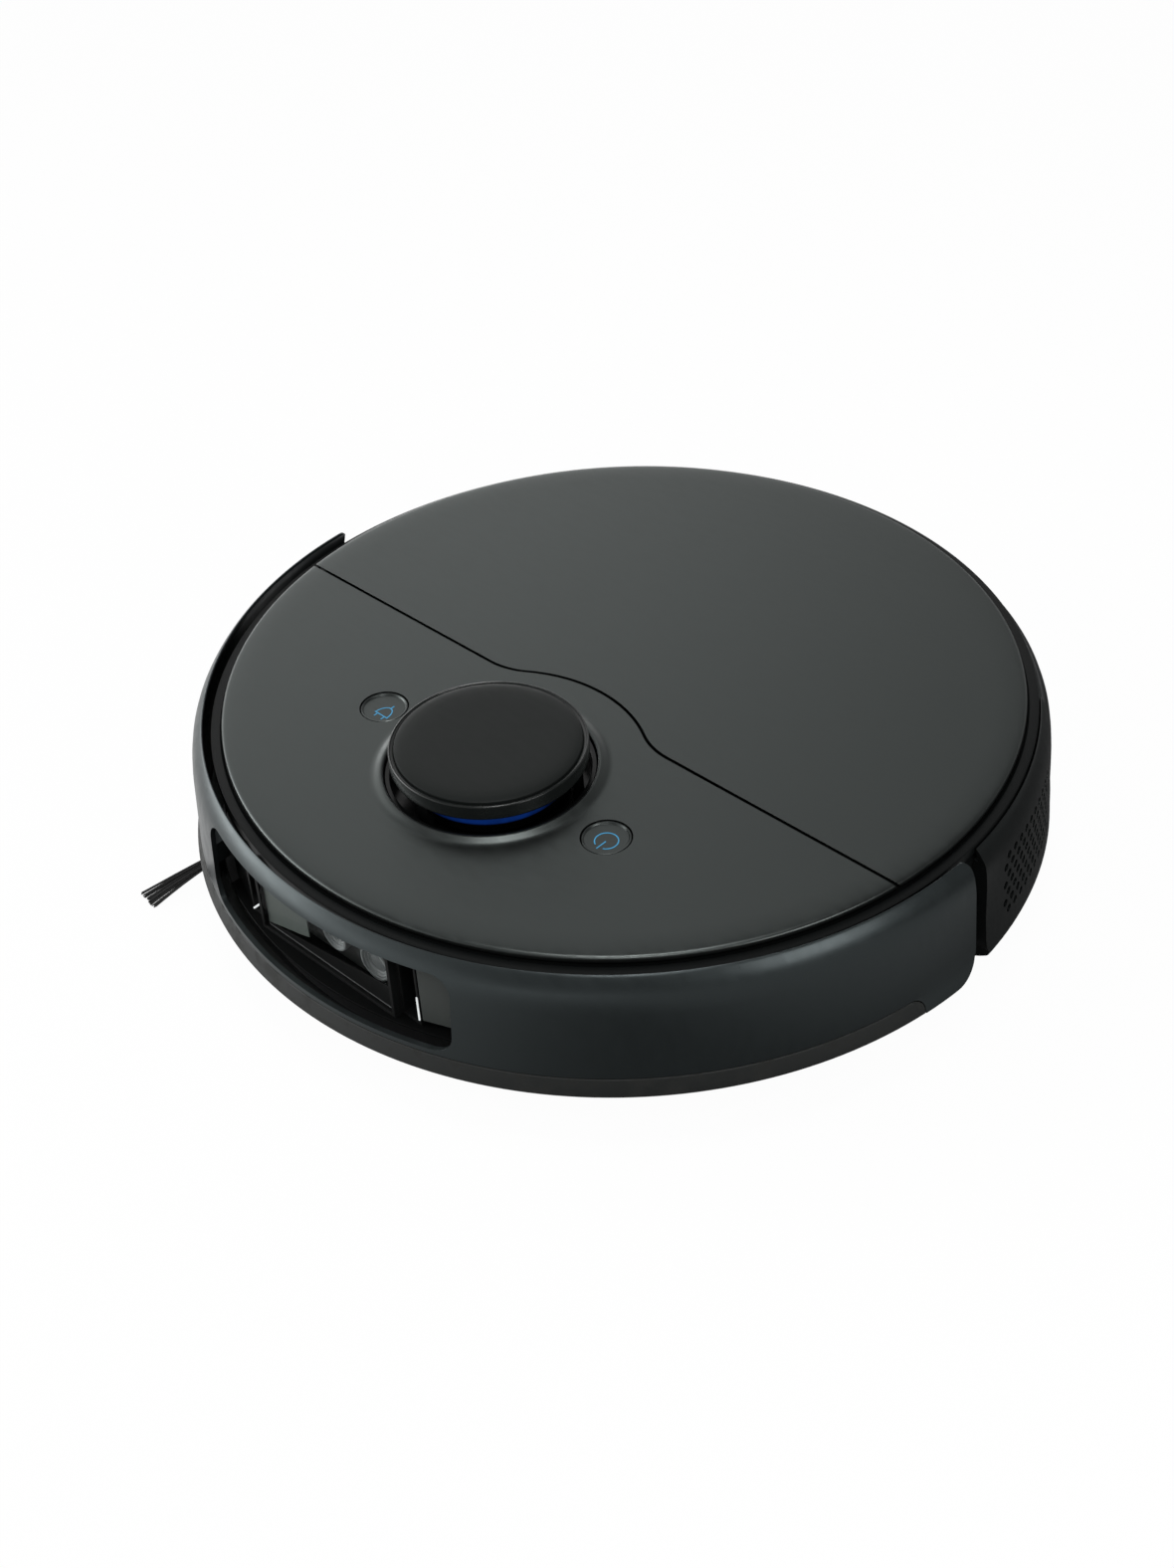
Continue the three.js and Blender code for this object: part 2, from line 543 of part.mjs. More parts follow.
function frontCover() {
  const plate = join(revolve(COVER_PROFILE), revolve(STAND_RIB));
  const lip = revolve(
    [
      [LIDAR_HOLE_R, COVER_UNDER_Z],
      [LIDAR_HOLE_R, COVER_TOP_Z - 0.6],
      [LIDAR_HOLE_R + 1.2, COVER_TOP_Z + 0.8],
      [LIDAR_HOLE_R + 3.4, COVER_TOP_Z + 0.8],
      [LIDAR_HOLE_R + 7, COVER_TOP_Z - 0.2],
      [LIDAR_HOLE_R + 7, COVER_UNDER_Z],
    ],
    { y: LIDAR_Y, facets: LIDAR_FACETS },
  );
  const holes = [rod("z", LIDAR_HOLE_R, 60, 90, [0, LIDAR_Y], LIDAR_FACETS)];
  for (const side of [1, -1]) {
    const x = side * BUTTON_X;
    holes.push(rod("z", BUTTON_R + FIT, COVER_UNDER_Z - 1, COVER_TOP_Z + 1, [x, BUTTON_Y], MID));
    const [a, b] = side > 0 ? [POCKET.x0, POCKET.x1] : [-POCKET.x1, -POCKET.x0];
    holes.push(box(a, b, SEAM_Y - 4, SEAM_Y + 8, COVER_UNDER_Z - 1, COVER_TOP_Z - 1.2));
  }
  return cut(join(common(plate, frontSpace(0)), lip), ...holes);
}

function rearLid() {
  const plate = join(revolve(COVER_PROFILE), revolve(STAND_RIB));
  const lid = cut(plate, frontSpace(SEAM));
  const necks = join(gooseneck(), gooseneck().mirror([1, 0, 0]));
  return join(lid, necks);
}

// ---------------------------------------------------------------- side shells

/** Round holes of the exhaust grille, in staggered rows through the shell wall. */
function grilleHoles() {
  const hole = rod("x", GRILLE_HOLE_R, 0, 14, [0, 0], 8);
  const holes = [];
  const middle = (FLOOR_GAP + COVER_TOP_Z) / 2 - 0.2;
  const last = (GRILLE_ROWS - 1) / 2;
  for (let row = -last; row <= last; row += 1) {
    const shift = row % 2 === 0 ? 0 : GRILLE_STEP / 2;
    for (let column = 0; column < GRILLE_COLUMNS; column += 1) {
      const angle = GRILLE_A0 + shift + column * GRILLE_STEP;
      const [x, y] = [(RING_R - 1) * Math.cos(rad(angle)), (RING_R - 1) * Math.sin(rad(angle))];
      holes.push(hole.rotate([0, 0, angle]).translate([x, y, middle + row * GRILLE_ROW_H]));
    }
  }
  return holes;
}

/** The side shell on +X. The other side is its mirror image, without the grille. */
function sideShell() {
  const wall = revolve([...BODY_OUTER, ...BODY_INNER]);
  const returned = revolve([
    ...BODY_OUTER.slice(0, -2),
    [DECK_WALL_R + FIT, COVER_TOP_Z - 10],
    [DECK_WALL_R + FIT, SHELL_LOW_Z],
  ]);
  const flange = common(returned, box(0, SKIRT_R, SHELL_FRONT_Y, SHELL_FRONT_Y + WALL_T, 0, COVER_TOP_Z));
  const length = box(0, SKIRT_R, SHELL_FRONT_Y, TANK_Y, 0, COVER_TOP_Z);
  return join(common(wall, length), flange);
}

// ---------------------------------------------------------------- bumper

function bumperShell() {
  const ring = revolve([...BUMPER_OUTER, ...BUMPER_INNER]);
  const half = box(-SKIRT_R - 1, SKIRT_R + 1, -SKIRT_R - 1, BUMPER_END_Y, 0, COVER_TOP_Z);
  const lower = SKIRT_Z + STRIP_H + FIT;
  const stripSpace = box(-SKIRT_R - 1, SKIRT_R + 1, -SKIRT_R - 1, STRIP_END_Y + FIT, 0, lower);
  const middleZ = WINDOW_Z0 + WINDOW_H / 2;
  const window = roundedRectangle(WINDOW_W, WINDOW_H, WINDOW_CORNER_R, 0, middleZ);
  const opening = standing(prism(window, 120, SKIRT_R + 5, 5));
  let shell = cut(common(ring, half), stripSpace, opening);
  // Hooks and seats end inside the wall, which leans by the bumper's height
  const core = revolve([[0, SKIRT_Z], ...BUMPER_OUTER.map(([r, z]) => [r - 1.2, z]), [0, COVER_TOP_Z]]);
  for (const angle of TAB_ANGLES) {
    const hook = PAN_WALL_R - WALL_T - 1;
    const tab = join(
      box(hook - 2.4, SKIRT_R, -TAB.w / 2, TAB.w / 2, TAB.z0, TAB.z0 + TAB.t),
      box(hook - 2.4, hook, -TAB.w / 2, TAB.w / 2, TAB.z0 - 5, TAB.z0 + 1),
    );
    shell = join(shell, common(around(tab, angle), core));
  }
  for (const side of [1, -1]) {
    const { x, z, front } = BUMPER_SPRING;
    const seat = box(side * x - 4.5, side * x + 4.5, front - 6, front, z - 4.5, z + 4.5);
    const peg = rod("y", 1.8, front - 1, front + 4, [side * x, z], 10);
    shell = join(shell, common(seat, core), peg);
  }
  return shell;
}

const STRIP_END_Y = -27.4;
const BUMPER_SPRING = { x: 72, z: 47, front: 25 - SKIRT_R, back: 37 - SKIRT_R };

function bumperStrip() {
  const z1 = SKIRT_Z + STRIP_H;
  const ring = revolve([
    [SKIRT_R - 9.7, SKIRT_Z],
    [SKIRT_R, SKIRT_Z],
    [SKIRT_R - 1.7, z1],
    [SKIRT_R - 1.7 - WALL_T, z1],
    [SKIRT_R - WALL_T - 0.6, SKIRT_Z + 2],
    [SKIRT_R - 9.7, SKIRT_Z + 2],
  ]);
  return common(ring, box(-SKIRT_R - 1, SKIRT_R + 1, -SKIRT_R - 1, STRIP_END_Y, 0, COVER_TOP_Z));
}

/** One of the two springs that push the bumper forwards again, between its seat and the deck. */
function bumperSpring(side) {
  const { x, z, front, back } = BUMPER_SPRING;
  const spring = coil(3, 0.45, FIT, back - front - FIT, 5).rotate([-90, 0, 0]);
  return spring.translate([side * x, front, z]);
}

// ---------------------------------------------------------------- camera behind the window

const PANEL = { halfW: 35, y: -COVER_R - 2.9, t: 1.5 };
const CAMERA = { z0: 31.5, floor: 33.2, roof: DECK_Z - 2, back: 17 - COVER_R };
const LENSES = [["camera_lens", 0.5, 6.4], ["projector_lens", 22.4, 7.6]];
const LENS_Z = 46;

function sensorHousing() {
  const top = DECK_Z - FIT;
  const frame = PANEL.halfW + 2;
  const wallFront = -COVER_R + 0.5;
  const outer = join(
    box(-BAY_HALF_W, BAY_HALF_W, wallFront, CAMERA.back + 3, CAMERA.z0, top),
    box(-frame, frame, PANEL.y - 0.3, wallFront + 1, CAMERA.z0, top),
  );
  const [low, high] = [CAMERA.floor, CAMERA.roof];
  const pockets = [1, -1].map((side) => {
    const [a, b] = side > 0 ? [frame + 1.2, BAY_HALF_W - 1.2] : [-BAY_HALF_W + 1.2, -frame - 1.2];
    return box(a, b, -SKIRT_R, CAMERA.back - 5, low, high);
  });
  const chamber = box(-PANEL.halfW - FIT, PANEL.halfW + FIT, -SKIRT_R, CAMERA.back, low, high);
  return cut(outer, chamber, ...pockets);
}

/** A lens barrel with a stepped mouth and a domed glass. */
function lensBarrel(radius) {
  return revolve(
    [
      [0, 0],
      [radius + 1, 0],
      [radius + 1, 9],
      [radius, 9],
      [radius, 15],
      [radius - 1.4, 15],
      [radius - 2.6, 12.8],
      [radius * 0.3, 13.6],
      [0, 13.8],
    ],
    { facets: 16 },
  );
}

// ---------------------------------------------------------------- lidar turret

const LIDAR_FLOOR_Z = DECK_Z - 4;
const SPINDLE_PLATE_Z = LIDAR_FLOOR_Z - 11;
const BOWL_R = LIDAR_HOLE_R - RUN;
const POST_R0 = ROTOR_R + 2.6;
const POST_R1 = POST_R0 + 2.8;
const PULLEY_Z0 = SPINDLE_PLATE_Z + 4.6;
const PULLEY_Z1 = PULLEY_Z0 + 5;
const CAP_CEILING_Z = CAP_TOP_Z - 2.4;

function lidarBase() {
  const floorR = PULLEY_R + 0.7;
  const bowl = revolve(
    [
      [floorR, LIDAR_FLOOR_Z],
      [BOWL_R, LIDAR_FLOOR_Z],
      [BOWL_R, COVER_TOP_Z - 1.4],
      [BOWL_R - 1.8, COVER_TOP_Z - 1.4],
      [BOWL_R - 1.8, LIDAR_FLOOR_Z + 2],
      [floorR, LIDAR_FLOOR_Z + 2],
    ],
    { facets: LIDAR_FACETS },
  );
  const plate = rod("z", POST_R1 + 1, SPINDLE_PLATE_Z, SPINDLE_PLATE_Z + 2, [0, 0], MID);
  const spindle = rod("z", 3, SPINDLE_PLATE_Z + 1, PULLEY_Z1 + 8, [0, 0], 14);
  const pieces = [bowl, spindle, plate];
  for (const angle of [-90, 30, 150]) {
    const post = box(POST_R0, POST_R1, -3, 3, LIDAR_FLOOR_Z + 1, CAP_CEILING_Z - FIT);
    pieces.push(around(post, angle));
  }
  for (const angle of [-80, 40, 160]) {
    const leg = box(POST_R1 - 4, POST_R1 + 0.4, -4, 4, SPINDLE_PLATE_Z, LIDAR_FLOOR_Z + 1);
    pieces.push(around(leg, angle));
  }
  const [mx, my] = [LIDAR_MOTOR[0], LIDAR_MOTOR[1] - LIDAR_Y];
  const reach = Math.hypot(mx, my);
  const bracket = join(
    box(20, reach, -8, 8, SPINDLE_PLATE_Z, SPINDLE_PLATE_Z + 2),
    rod("z", 11, SPINDLE_PLATE_Z, SPINDLE_PLATE_Z + 2, [reach, 0]),
  );
  pieces.push(around(bracket, THREE.MathUtils.radToDeg(Math.atan2(my, mx))));
  const solid = cut(join(...pieces), rod("z", 2.2, SPINDLE_PLATE_Z - 1, SPINDLE_PLATE_Z + 3, [mx, my], 14));
  return solid.translate([0, LIDAR_Y, 0]);
}

/** The spinning head: pulley, neck and drum in one, bored for the spindle, with two lens holes. */
function lidarRotor() {
  const top = CAP_CEILING_Z - 2;
  const bore = 3 + RUN;
  const body = revolve(
    [
      [bore, PULLEY_Z0],
      [PULLEY_R + 1, PULLEY_Z0],
      [PULLEY_R, PULLEY_Z0 + 0.6],
      [PULLEY_R, LIDAR_FLOOR_Z + 3],
      [ROTOR_R, LIDAR_FLOOR_Z + 4.4],
      [ROTOR_R, top],
      [0, top],
      [0, PULLEY_Z1 + 8.6],
      [bore, PULLEY_Z1 + 8.6],
    ],
    { facets: LIDAR_FACETS },
  );
  const z = (LIDAR_FLOOR_Z + 5 + top) / 2 + 0.6;
  const eyes = [
    rod("y", 5.6, -ROTOR_R - 1, -ROTOR_R + 8, [11, z]),
    rod("y", 3.6, -ROTOR_R - 1, -ROTOR_R + 8, [-11, z]),
  ];
  return cut(body, ...eyes);
}

function lidarCap() {
  const low = CAP_TOP_Z - CAP_H;
  return revolve(
    [
      [0, CAP_CEILING_Z],
      [CAP_R - 2, CAP_CEILING_Z],
      [CAP_R - 1.5, low],
      [CAP_R - 0.3, low],
      [CAP_R, low + 0.6],
      [CAP_R - 0.5, CAP_TOP_Z - 0.9],
      [CAP_R - 1.7, CAP_TOP_Z - 0.4],
      [CAP_R - 1.7, CAP_TOP_Z - 1.1],
      [0, CAP_TOP_Z - 1.1],
    ],
    { facets: LIDAR_FACETS },
  );
}

function lidarCapDisc() {
  const r = CAP_R - 1.7 - FIT;
  return revolve(
    [
      [0, CAP_TOP_Z - 0.8],
      [r, CAP_TOP_Z - 0.8],
      [r, CAP_TOP_Z - 0.2],
      [r - 0.7, CAP_TOP_Z + 0.2],
      [r - 8, CAP_TOP_Z + 0.4],
      [0, CAP_TOP_Z + 0.4],
    ],
    { facets: LIDAR_FACETS },
  );
}

/** A belt loop round two pulleys: the first at the origin, the second at a distance along +X. */
function beltLoop(r1, r2, distance, t, z0, z1) {
  const lean = Math.acos((r1 - r2) / distance);
  const outline = (grow) => {
    const path = new THREE.Shape();
    path.absarc(0, 0, r1 + grow, lean, AROUND - lean, false);
    path.absarc(distance, 0, r2 + grow, -lean, lean, false);
    return path;
  };
  const shape = outline(FIT + t);
  shape.holes.push(outline(FIT));
  return prism(shape, z0, z1, 8);
}

// ---------------------------------------------------------------- buttons

function pushButton() {
  return revolve(
    [
      [0, DECK_Z - 1.2],
      [2.6, DECK_Z - 1.2],
      [2.6, COVER_UNDER_Z - 1],
      [BUTTON_R, COVER_UNDER_Z - 1],
      [BUTTON_R, COVER_TOP_Z - 0.8],
      [BUTTON_R - 0.8, COVER_TOP_Z - 0.2],
      [0, COVER_TOP_Z - 0.4],
    ],
    { facets: MID },
  );
}

// ---------------------------------------------------------------- drive wheels

const SPRING = { x: WELL_X0 + 8, y: 18 };

/** The gearbox arm in its own frame: the pivot is the origin and X runs outwards. */
function driveArm() {
  const wheel = new THREE.Vector2(-ARM_PIVOT[0], WHEEL_R - ARM_PIVOT[1]);
  const distance = wheel.length();
  const outline = new THREE.Shape();
  const [r1, r2] = [8, 15];
  const lean = Math.acos((r2 - r1) / distance);
  outline.absarc(0, 0, r1, -Math.PI + lean, Math.PI - lean, false);
  outline.absarc(-distance, 0, r2, Math.PI - lean, Math.PI + lean, false);
  const body = prism(outline, 0, ARM_T, 4).rotate([0, 0, THREE.MathUtils.radToDeg(Math.atan2(wheel.y, wheel.x)) - 180]);
  const turned = sideways(body).translate([1.5, 0, 0]);
  const pin = rod("x", 3, -1.7, ARM_T + 3, [0, 0]);
  const bore = rod("x", 3 + RUN, ARM_T - 8, ARM_T + 3, [wheel.x, wheel.y]);
  const motor = rod("x", 9, 0.3, 3, [wheel.x * 0.62, wheel.y * 0.62]);
  const peg = rod("z", 2.6, 4, 14.5, [SPRING.x - WELL.x0, SPRING.y - ARM_PIVOT[0]], 12);
  return cut(join(turned, pin, motor, peg), bore);
}

/** Wheel hub with its axle stub and five spokes of relief, axis along X, centre at the origin. */
function wheelHub() {
  const half = TYRE_W / 2;
  const hub = revolve(
    [
      [0, -half + 1.5],
      [RIM_R, -half + 1.5],
      [RIM_R, half - 1],
      [RIM_R - 2.4, half - 1],
      [RIM_R - 3.4, half - 4],
      [8.5, half - 4],
      [7.5, half - 1.6],
      [0, half - 1.6],
    ],
    { facets: TREAD_LUGS },
  );
  const spokes = [];
  for (let i = 0; i < 5; i += 1) {
    const window = prism([[10.5, -2.4], [18.5, -4.6], [18.5, 4.6], [10.5, 2.4]], -half - 1, half);
    spokes.push(around(window, i * 72));
  }
  const axle = rod("z", 3, -half - 7.5, 0, [0, 0], 14);
  return join(cut(hub, ...spokes), axle).rotate([0, 90, 0]);
}

/** Tyre with raised lugs across the tread. */
function tyre() {
  const half = TYRE_W / 2;
  const pitch = AROUND / TREAD_LUGS;
  const at = (angle, r) => new THREE.Vector2(r * Math.cos(angle), r * Math.sin(angle));
  const outline = [];
  for (let i = 0; i < TREAD_LUGS; i += 1) {
    const middle = i * pitch;
    outline.push(at(middle - 0.31 * pitch, WHEEL_R - LUG_H), at(middle - 0.2 * pitch, WHEEL_R));
    outline.push(at(middle + 0.2 * pitch, WHEEL_R), at(middle + 0.31 * pitch, WHEEL_R - LUG_H));
  }
  const toothed = prism(new THREE.Shape(outline), -half, half);
  return cut(toothed, rod("z", RIM_R + FIT, -half - 1, half + 1, [0, 0], TREAD_LUGS)).rotate([0, 90, 0]);
}

/** The spring that presses a drive arm down. */
function driveSpring() {
  const low = ARM_PIVOT[1] + 11.3;
  return coil(3.9, 0.7, low, DECK_Z - 0.4, 5);
}

// ---------------------------------------------------------------- caster

function casterFork() {
  const body = rod("z", CASTER_BODY_R, 8.4, CASTER_TOP_Z, [0, 0], MID);
  const stem = rod("z", 3.5, CASTER_TOP_Z - 1, CASTER_TOP_Z + 5);
  const slot = box(-6.9, 6.9, -CASTER_BODY_R, CASTER_BODY_R, 0, CASTER_WHEEL_R * 2 + 1.4);
  const toe = box(-CASTER_BODY_R, CASTER_BODY_R, -CASTER_BODY_R - 1, -8, 0, 13);
  const pinHole = rod("x", 1.5 + FIT, -CASTER_BODY_R, CASTER_BODY_R, [CASTER_TRAIL, CASTER_WHEEL_R], 14);
  return cut(join(body, stem), slot, toe, pinHole);
}

function casterWheel() {
  return revolve(
    [
      [1.5 + FIT, -6.2],
      [CASTER_WHEEL_R - 1.6, -6.2],
      [CASTER_WHEEL_R, -3.6],
      [CASTER_WHEEL_R, 3.6],
      [CASTER_WHEEL_R - 1.6, 6.2],
      [1.5 + FIT, 6.2],
    ],
    { facets: MID },
  ).rotate([0, 90, 0]);
}

// ---------------------------------------------------------------- main brush

/** The rubber roller: a bored core with fins that sweep to a V in the middle, axis along X. */
function brushRoller() {
  const core = 8.5;
  const outline = [];
  for (let fin = 0; fin < FINS; fin += 1) {
    const at = (degrees, r) => {
      const angle = rad((fin * 360) / FINS + degrees);
      return [r * Math.cos(angle), r * Math.sin(angle)];
    };
    outline.push(at(-16, core), at(-3, ROLLER_R), at(3, ROLLER_R), at(16, core));
  }
  const length = ROLLER_X1 - ROLLER_X0 - 4;
  const shape = new THREE.Shape(outline.map(([x, y]) => new THREE.Vector2(x, y)));
  const geometry = new THREE.ExtrudeGeometry(shape, { depth: length, steps: 16, bevelEnabled: false });
  const position = geometry.getAttribute("position");
  for (let i = 0; i < position.count; i += 1) {
    const [x, y, z] = [position.getX(i), position.getY(i), position.getZ(i)];
    const sweep = rad(FIN_TWIST) * (1 - Math.abs((2 * z) / length - 1));
    const [c, s] = [Math.cos(sweep), Math.sin(sweep)];
    position.setXY(i, x * c - y * s, x * s + y * c);
  }
  const bored = cut(solidOf(geometry), rod("z", 5 + FIT, -1, length + 1));
  return sideways(bored).translate([ROLLER_X0 + 2, 0, 0]);
}

/** The roller's shaft, with an end cap at the free end and a square drive at the other. */
function brushShaft() {
  const shaft = rod("x", 5, ROLLER_X0 + 1, ROLLER_X1 + 0.4);
  const cap = rod("x", 9.4, ROLLER_X0 - 1.5, ROLLER_X0 + 1.7, [0, 0], 20);
  const drive = box(ROLLER_X1, ROLLER_X1 + 9, -3, 3, -3, 3);
  const collar = rod("x", 9.4, ROLLER_X1 - 1.7, ROLLER_X1 + 1.5, [0, 0], 20);
  return join(shaft, cap, drive, collar);
}

function brushGearbox() {
  const x0 = BAY.x1 + 2 + FIT;
  const x1 = WELL.x0 - 2 - 0.8;
  const body = box(x0, x1, -22, 20, PAN_TOP_Z + FIT, 40);
  const dome = rod("x", 14, x0, x1, [ROLLER_Y, ROLLER_Z + 8], MID);
  const motor = rod("y", 9, -9, 22, [(x0 + x1) / 2, 44]);
  const socket = box(x0 - 1, x0 + 8, ROLLER_Y - 4.6, ROLLER_Y + 4.6, ROLLER_Z - 4.6, ROLLER_Z + 4.6);
  return cut(join(body, dome, motor), socket);
}

function brushCover() {
  const [x0, x1, y0, y1] = [BAY.x0 - 3.6, BAY.x1 + 8, BAY.y0 - 6, BAY.y1 + 6];
  const [cx, cy] = [(x0 + x1) / 2, (y0 + y1) / 2];
  const shape = roundedRectangle(x1 - x0, y1 - y0, 6, cx, cy);
  shape.holes.push(roundedRectangle(ROLLER_X1 - ROLLER_X0 - 4, y1 - y0 - 22, 3, (ROLLER_X0 + ROLLER_X1) / 2, cy));
  return prism(shape, FLOOR_GAP - 1.9, FLOOR_GAP - FIT, 4);
}

// ---------------------------------------------------------------- side brush

function sideBrushHub() {
  const disc = revolve(
    [
      [0, 4.2],
      [7, 4.2],
      [13, 6],
      [13, FLOOR_GAP - FIT - 0.6],
      [12, FLOOR_GAP - FIT],
      [4, FLOOR_GAP - FIT],
      [4, PAN_TOP_Z + 5],
      [0, PAN_TOP_Z + 5],
    ],
    { facets: MID },
  );
  const arms = [0, 120, 240].map((turn) => {
    const root = prism([[8, -5], [24, -3], [24, 3], [8, 5]], 5, 8.6);
    return around(root, BRISTLE_ANGLE + turn);
  });
  return join(disc, ...arms);
}

/** A tuft that fans out and droops from its arm to just above the floor. */
function bristleTuft(turn) {
  const tuft = prism([[24 + FIT, -1.6], [BRISTLE_R, -6.2], [BRISTLE_R, 6.2], [24 + FIT, 1.6]], 0, 1.6);
  const bent = tuft.refineToLength(9).warp((point) => {
    const along = (point[0] - 24) / (BRISTLE_R - 24);
    point[2] = point[2] * (1 - 0.5 * along) + 6 - 5.2 * along ** 1.6;
  });
  return around(bent, BRISTLE_ANGLE + turn);
}

function sideBrushGearbox() {
  const z0 = PAN_TOP_Z + FIT;
  const body = rod("z", 13, z0, 32, [0, 0], MID);
  const motor = rod("z", 10, 31, 50, [1, 2], MID);
  return cut(join(body, motor), rod("z", 4 + RUN, z0 - 1, z0 + 6));
}

// ---------------------------------------------------------------- battery and boards

function batteryPack() {
  const { w, d, h, y } = BATTERY;
  const shape = roundedRectangle(w, d, 4, 0, y);
  return prism(shape, PAN_TOP_Z + FIT, PAN_TOP_Z + FIT + h, 4);
}

function batteryCover() {
  const [w, d] = [BATTERY.w + 12, BATTERY.d + 8];
  const plate = prism(roundedRectangle(w, d, 3, 0, BATTERY.y), FLOOR_GAP, FLOOR_GAP + 1.7, 4);
  const finger = box(-9, 9, BATTERY.y - d / 2 - 1, BATTERY.y - d / 2 + 5, FLOOR_GAP - 1, FLOOR_GAP + 0.8);
  return cut(plate, finger);
}

function mainBoard() {
  const board = box(-BOARD_X, BOARD_X, -24, 28, BOARD_Z, BOARD_Z + 1.6);
  const top = BOARD_Z + 1;
  return join(
    board,
    box(-14, 4, -10, 8, top, top + 2.6),
    box(12, 24, -4, 8, top, top + 2.2),
    box(BOARD_X - 24, BOARD_X - 4, -20, -12, top, top + 7),
    box(4 - BOARD_X, 24 - BOARD_X, 14, 24, top, top + 7),
    box(8 - BOARD_X, 26 - BOARD_X, -18, -6, top, top + 4),
    rod("z", 4, top, top + 9, [BOARD_X - 16, 14], 16),
    rod("z", 4, top, top + 9, [BOARD_X - 26, 18], 16),
  );
}

// ---------------------------------------------------------------- dust box and fan

const DUST = { z0: PAN_TOP_Z + RUN, z1: DECK_TOP_Z - 0.3 };
const FILTER = { y0: 50, y1: 90, z0: 24, z1: 58 };

function dustBox() {
  const [x, y0, y1] = [DUST_BOX.w / 2, DUST_BOX.y - DUST_BOX.d / 2, DUST_BOX.y + DUST_BOX.d / 2];
  const outer = prism(roundedRectangle(2 * x, y1 - y0, 5, 0, DUST_BOX.y), DUST.z0, DUST.z1, 2);
  const lip = 8; // the lid of the box and its finger recess are this deep
  const inner = box(-x + 2, x - 2, y0 + 2, y1 - 2, DUST.z0 + 2, DUST.z1 - lip - 2);
  const inlet = box(-THROAT.halfW + 2, THROAT.halfW - 2, y0 - 1, y0 + 3, THROAT.z0 + 1, THROAT.z1 - 1);
  const outlet = box(x - 3, x + 1, FILTER.y0, FILTER.y1, FILTER.z0, FILTER.z1);
  const recess = prism(roundedRectangle(56, 30, 8, 0, DUST_BOX.y + 6), DUST.z1 - lip, DUST.z1 + 1, 3);
  const grip = box(-5, 5, DUST_BOX.y - 12, DUST_BOX.y + 24, DUST.z1 - lip - 1, DUST.z1 - 1);
  return cut(outer, inner, inlet, outlet, cut(recess, grip));
}

/** The pleated filter in the side of the dust box. */
function dustFilter() {
  const pleats = 12;
  const [x0, x1] = [DUST_BOX.w / 2 - 7, DUST_BOX.w / 2 - 1];
  const span = FILTER.y1 - FILTER.y0 - 2 * FIT;
  const pitch = span / pleats;
  const outline = [];
  for (let i = 0; i <= pleats; i += 1) {
    const y = FILTER.y0 + FIT + i * pitch;
    outline.push([x1, y]);
    if (i < pleats) outline.push([x1 - 3.4, y + pitch / 2]);
  }
  outline.push([x0, FILTER.y1 - FIT], [x0, FILTER.y0 + FIT]);
  return prism(outline, FILTER.z0 + FIT, FILTER.z1 - FIT);
}

const FAN_Z = { floor: PAN_TOP_Z + RUN, scroll: 34, top: 52 };

function fanHousing() {
  const motor = rod("z", FAN.r, FAN_Z.floor, FAN_Z.scroll + 0.5, [FAN.x, FAN.y], MID);
  const scroll = rod("z", FAN.r, FAN_Z.scroll, FAN_Z.top, [FAN.x, FAN.y], MID);
  const intake = box(DUST_BOX.w / 2 + RUN, FAN.x, FAN.y - 18, FAN.y + 8, FAN_Z.scroll, FAN_Z.top);
  const duct = box(FAN.x, FAN.x + 46, FAN.y - FAN.r, FAN.y - 4, FAN_Z.scroll + 2, FAN_Z.top);
  const chamber = rod("z", FAN.r - 2.5, FAN_Z.scroll + 2, FAN_Z.top - 2, [FAN.x, FAN.y], MID);
  const outletBore = box(FAN.x, FAN.x + 47, FAN.y - FAN.r + 2, FAN.y - 6, FAN_Z.scroll + 4, FAN_Z.top - 2);
  const intakeBore = box(DUST_BOX.w / 2, FAN.x - 12, FAN.y - 16, FAN.y + 6, FAN_Z.scroll + 2.4, FAN_Z.top - 2);
  const eye = rod("z", 8, FAN_Z.top - 3, FAN_Z.top + 1, [FAN.x, FAN.y]);
  return cut(join(motor, scroll, intake, duct), chamber, outletBore, intakeBore, eye);
}

/** The fan wheel: a back plate, a hub and backward swept blades. */
function fanImpeller() {
  const [r, z0] = [FAN.r - 3.6, FAN_Z.scroll + 2.8];
  const plate = rod("z", r, z0, z0 + 1.4, [0, 0], MID);
  const hub = rod("z", 4.2, z0, z0 + 9, [0, 0], 16);
  const blades = [];
  for (let i = 0; i < 8; i += 1) {
    const blade = prism([[3.4, -0.5], [9, 1.6], [r - 0.4, 6.4], [r - 1, 7.4], [8.6, 2.8], [3.2, 0.8]], z0 + 1, z0 + 8);
    blades.push(around(blade, i * 45));
  }
  return common(join(plate, hub, ...blades), rod("z", r, z0, z0 + 9, [0, 0], MID));
}

// ---------------------------------------------------------------- water tank

const RELEASE = { halfW: 18, z0: 38, z1: 52, depth: 8 };
const FILLER = { x: COVER_R - 96, y: TANK_Y + 28, r: 9 };

/** Everything inside the body's outer surface, from the underside to under the ring. */
function bodySpace() {
  return revolve([[0, FLOOR_GAP], [RING_R - 4.6, FLOOR_GAP], ...BODY_OUTER, [RING_R + 0.4, DECK_Z - FIT], [0, DECK_Z - FIT]]);
}

/** The finger recess in the middle of the tank's shoulder, grown all round to leave a wall. */
function fingerRecess(grow) {
  const z0 = RELEASE.z1 + 5;
  const outline = roundedRectangle(54 + 2 * grow, 40, 6, 0, z0 + 20 - grow);
  return standing(prism(outline, -SKIRT_R - 5, -RING_R + 0.4 + grow, 4));
}

